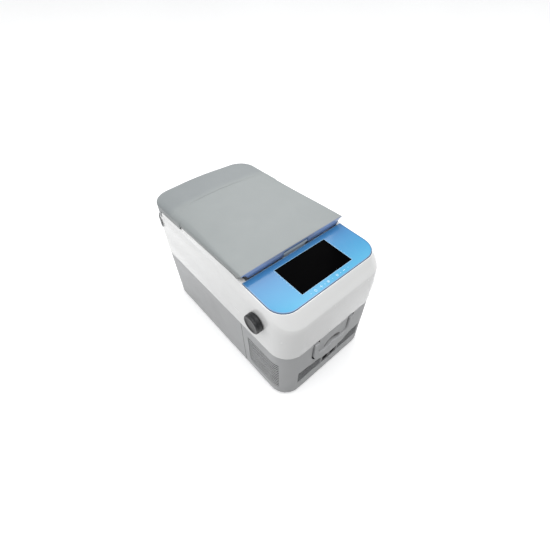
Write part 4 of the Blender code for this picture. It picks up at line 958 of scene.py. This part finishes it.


# -------------------------------------------------- screws on the hinge brackets
def build_screws():
    parts = []
    for s in (-1, 1):
        for x in (0.0700, 0.1020):
            cx, cy, cz = s * x, 0.2828, 0.2985
            rings = []
            for d, r in ((0.0001, 0.0030), (-0.0006, 0.0030), (-0.0010, 0.0026), (-0.0012, 0.0018), (-0.0007, 0.0015), (-0.0007, 0.0003)):
                rings.append([(cx + r * math.cos(2 * math.pi * i / 24), cy - d, cz + r * math.sin(2 * math.pi * i / 24)) for i in range(24)])
            parts.append(loft(rings))
    v, f = join(parts)
    piece("bracket_screws", v, f, "root", STEEL)


build_screws()


# ---------------------------------------------------------------- camera, floor and light
def camera(centre, yaw, pitch, roll, f_px):
    cy, sy = math.cos(yaw), math.sin(yaw)
    cp, sp = math.cos(pitch), math.sin(pitch)
    fwd = Vector((sy * cp, cy * cp, -sp))
    right = Vector((cy, -sy, 0.0))
    up = right.cross(fwd)
    cr, sr = math.cos(roll), math.sin(roll)
    r = cr * right + sr * up
    u = -sr * right + cr * up
    data = bpy.data.cameras.new("view")
    data.sensor_width = 36.0
    data.lens = f_px * 36.0 / 550.0
    data.clip_start = 0.01
    data.clip_end = 50.0
    cam = bpy.data.objects.new("view", data)
    m = Matrix((r, u, -fwd)).transposed().to_4x4()
    m.translation = Vector(centre)
    cam.matrix_world = m
    SCENE.collection.objects.link(cam)
    SCENE.camera = cam
    return cam


camera((-0.4047, -0.5262, 0.8486), math.radians(40.852), math.radians(46.357), math.radians(-0.576), 323.5)


def floor():
    """Floor that turns up into a backdrop far behind, one sheet."""
    prof = [(-14.0, 0.0), (3.0, 0.0)]
    for i in range(1, 13):
        a = math.radians(90.0 * i / 12)
        prof.append((3.0 + 1.5 * math.sin(a), 1.5 - 1.5 * math.cos(a)))
    prof.append((4.5, 5.0))
    bm = bmesh.new()
    rows = []
    for s, z in prof:
        rows.append([bm.verts.new((x, s, z)) for x in (-14.0, 14.0)])
    for a, b in zip(rows, rows[1:]):
        bm.faces.new((a[0], a[1], b[1], b[0]))
    me = bpy.data.meshes.new("floor")
    bm.to_mesh(me)
    bm.free()
    for p in me.polygons:
        p.use_smooth = True
    o = bpy.data.objects.new("floor", me)
    SCENE.collection.objects.link(o)
    o.rotation_euler = (0, 0, math.radians(-40.6))
    t = Tree("pale_floor")
    n = t.noise(1.2, 2.0, 0.5)
    t.color(t.mix(t.span(n, 0.3, 0.7), (0.90, 0.90, 0.90, 1), (0.93, 0.93, 0.93, 1)))
    t.set(Roughness=0.9, Specular_IOR_Level=0.1, Emission_Color=(1.0, 1.0, 1.0, 1.0), Emission_Strength=0.26)
    me.materials.append(t.mat)
    # the sheet catches shadows but throws no light back up on the sides
    o.visible_diffuse = False
    return o


floor()


def area(name, loc, target, size, power, color=(1, 1, 1)):
    data = bpy.data.lights.new(name, "AREA")
    data.shape = "RECTANGLE"
    data.size, data.size_y = size
    data.energy = power
    data.color = color
    o = bpy.data.objects.new(name, data)
    o.location = loc
    d = Vector(target) - Vector(loc)
    o.rotation_euler = d.to_track_quat("-Z", "Y").to_euler()
    SCENE.collection.objects.link(o)
    return o


def studio_world(base, left, front, top, sweep):
    """Soft light tent: a bright roof, a lighter left wall, a dimmer front and a dark underside."""
    world = bpy.data.worlds.new("studio")
    world.use_nodes = True
    SCENE.world = world
    t = world.node_tree
    bg = t.nodes["Background"]
    co = t.nodes.new("ShaderNodeTexCoord")
    sep = t.nodes.new("ShaderNodeSeparateXYZ")
    t.links.new(co.outputs["Generated"], sep.inputs[0])

    def add(x, k, y):
        n = t.nodes.new("ShaderNodeMath")
        n.operation = "MULTIPLY_ADD"
        t.links.new(x, n.inputs[0])
        n.inputs[1].default_value = k
        if isinstance(y, float):
            n.inputs[2].default_value = y
        else:
            t.links.new(y, n.inputs[2])
        return n.outputs[0]
    v = add(sep.outputs[0], -1.5 * left, float(base))
    v = add(sep.outputs[1], -1.5 * front, v)
    v = add(sep.outputs[2], 1.5 * top, v)
    xz = t.nodes.new("ShaderNodeMath")
    xz.operation = "MULTIPLY"
    t.links.new(sep.outputs[0], xz.inputs[0])
    t.links.new(sep.outputs[2], xz.inputs[1])
    v = add(xz.outputs[0], sweep, v)
    m = t.nodes.new("ShaderNodeMath")
    m.operation = "MAXIMUM"
    t.links.new(v, m.inputs[0])
    m.inputs[1].default_value = 0.02
    bg.inputs["Color"].default_value = (0.985, 0.993, 1.0, 1)
    t.links.new(m.outputs[0], bg.inputs["Strength"])


studio_world(0.52, 0.12, -0.19, 0.51, 0.45)
area("key", (1.15, 1.35, 2.1), (0, 0, 0.3), (1.5, 1.5), 15.0)
area("fill", (-0.55, -0.75, 2.5), (0, 0, 0.3), (1.4, 1.4), 13.0)
SCENE.view_settings.view_transform = "Standard"
SCENE.view_settings.look = "None"
SCENE.view_settings.exposure = 0.0
SCENE.view_settings.gamma = 1.0
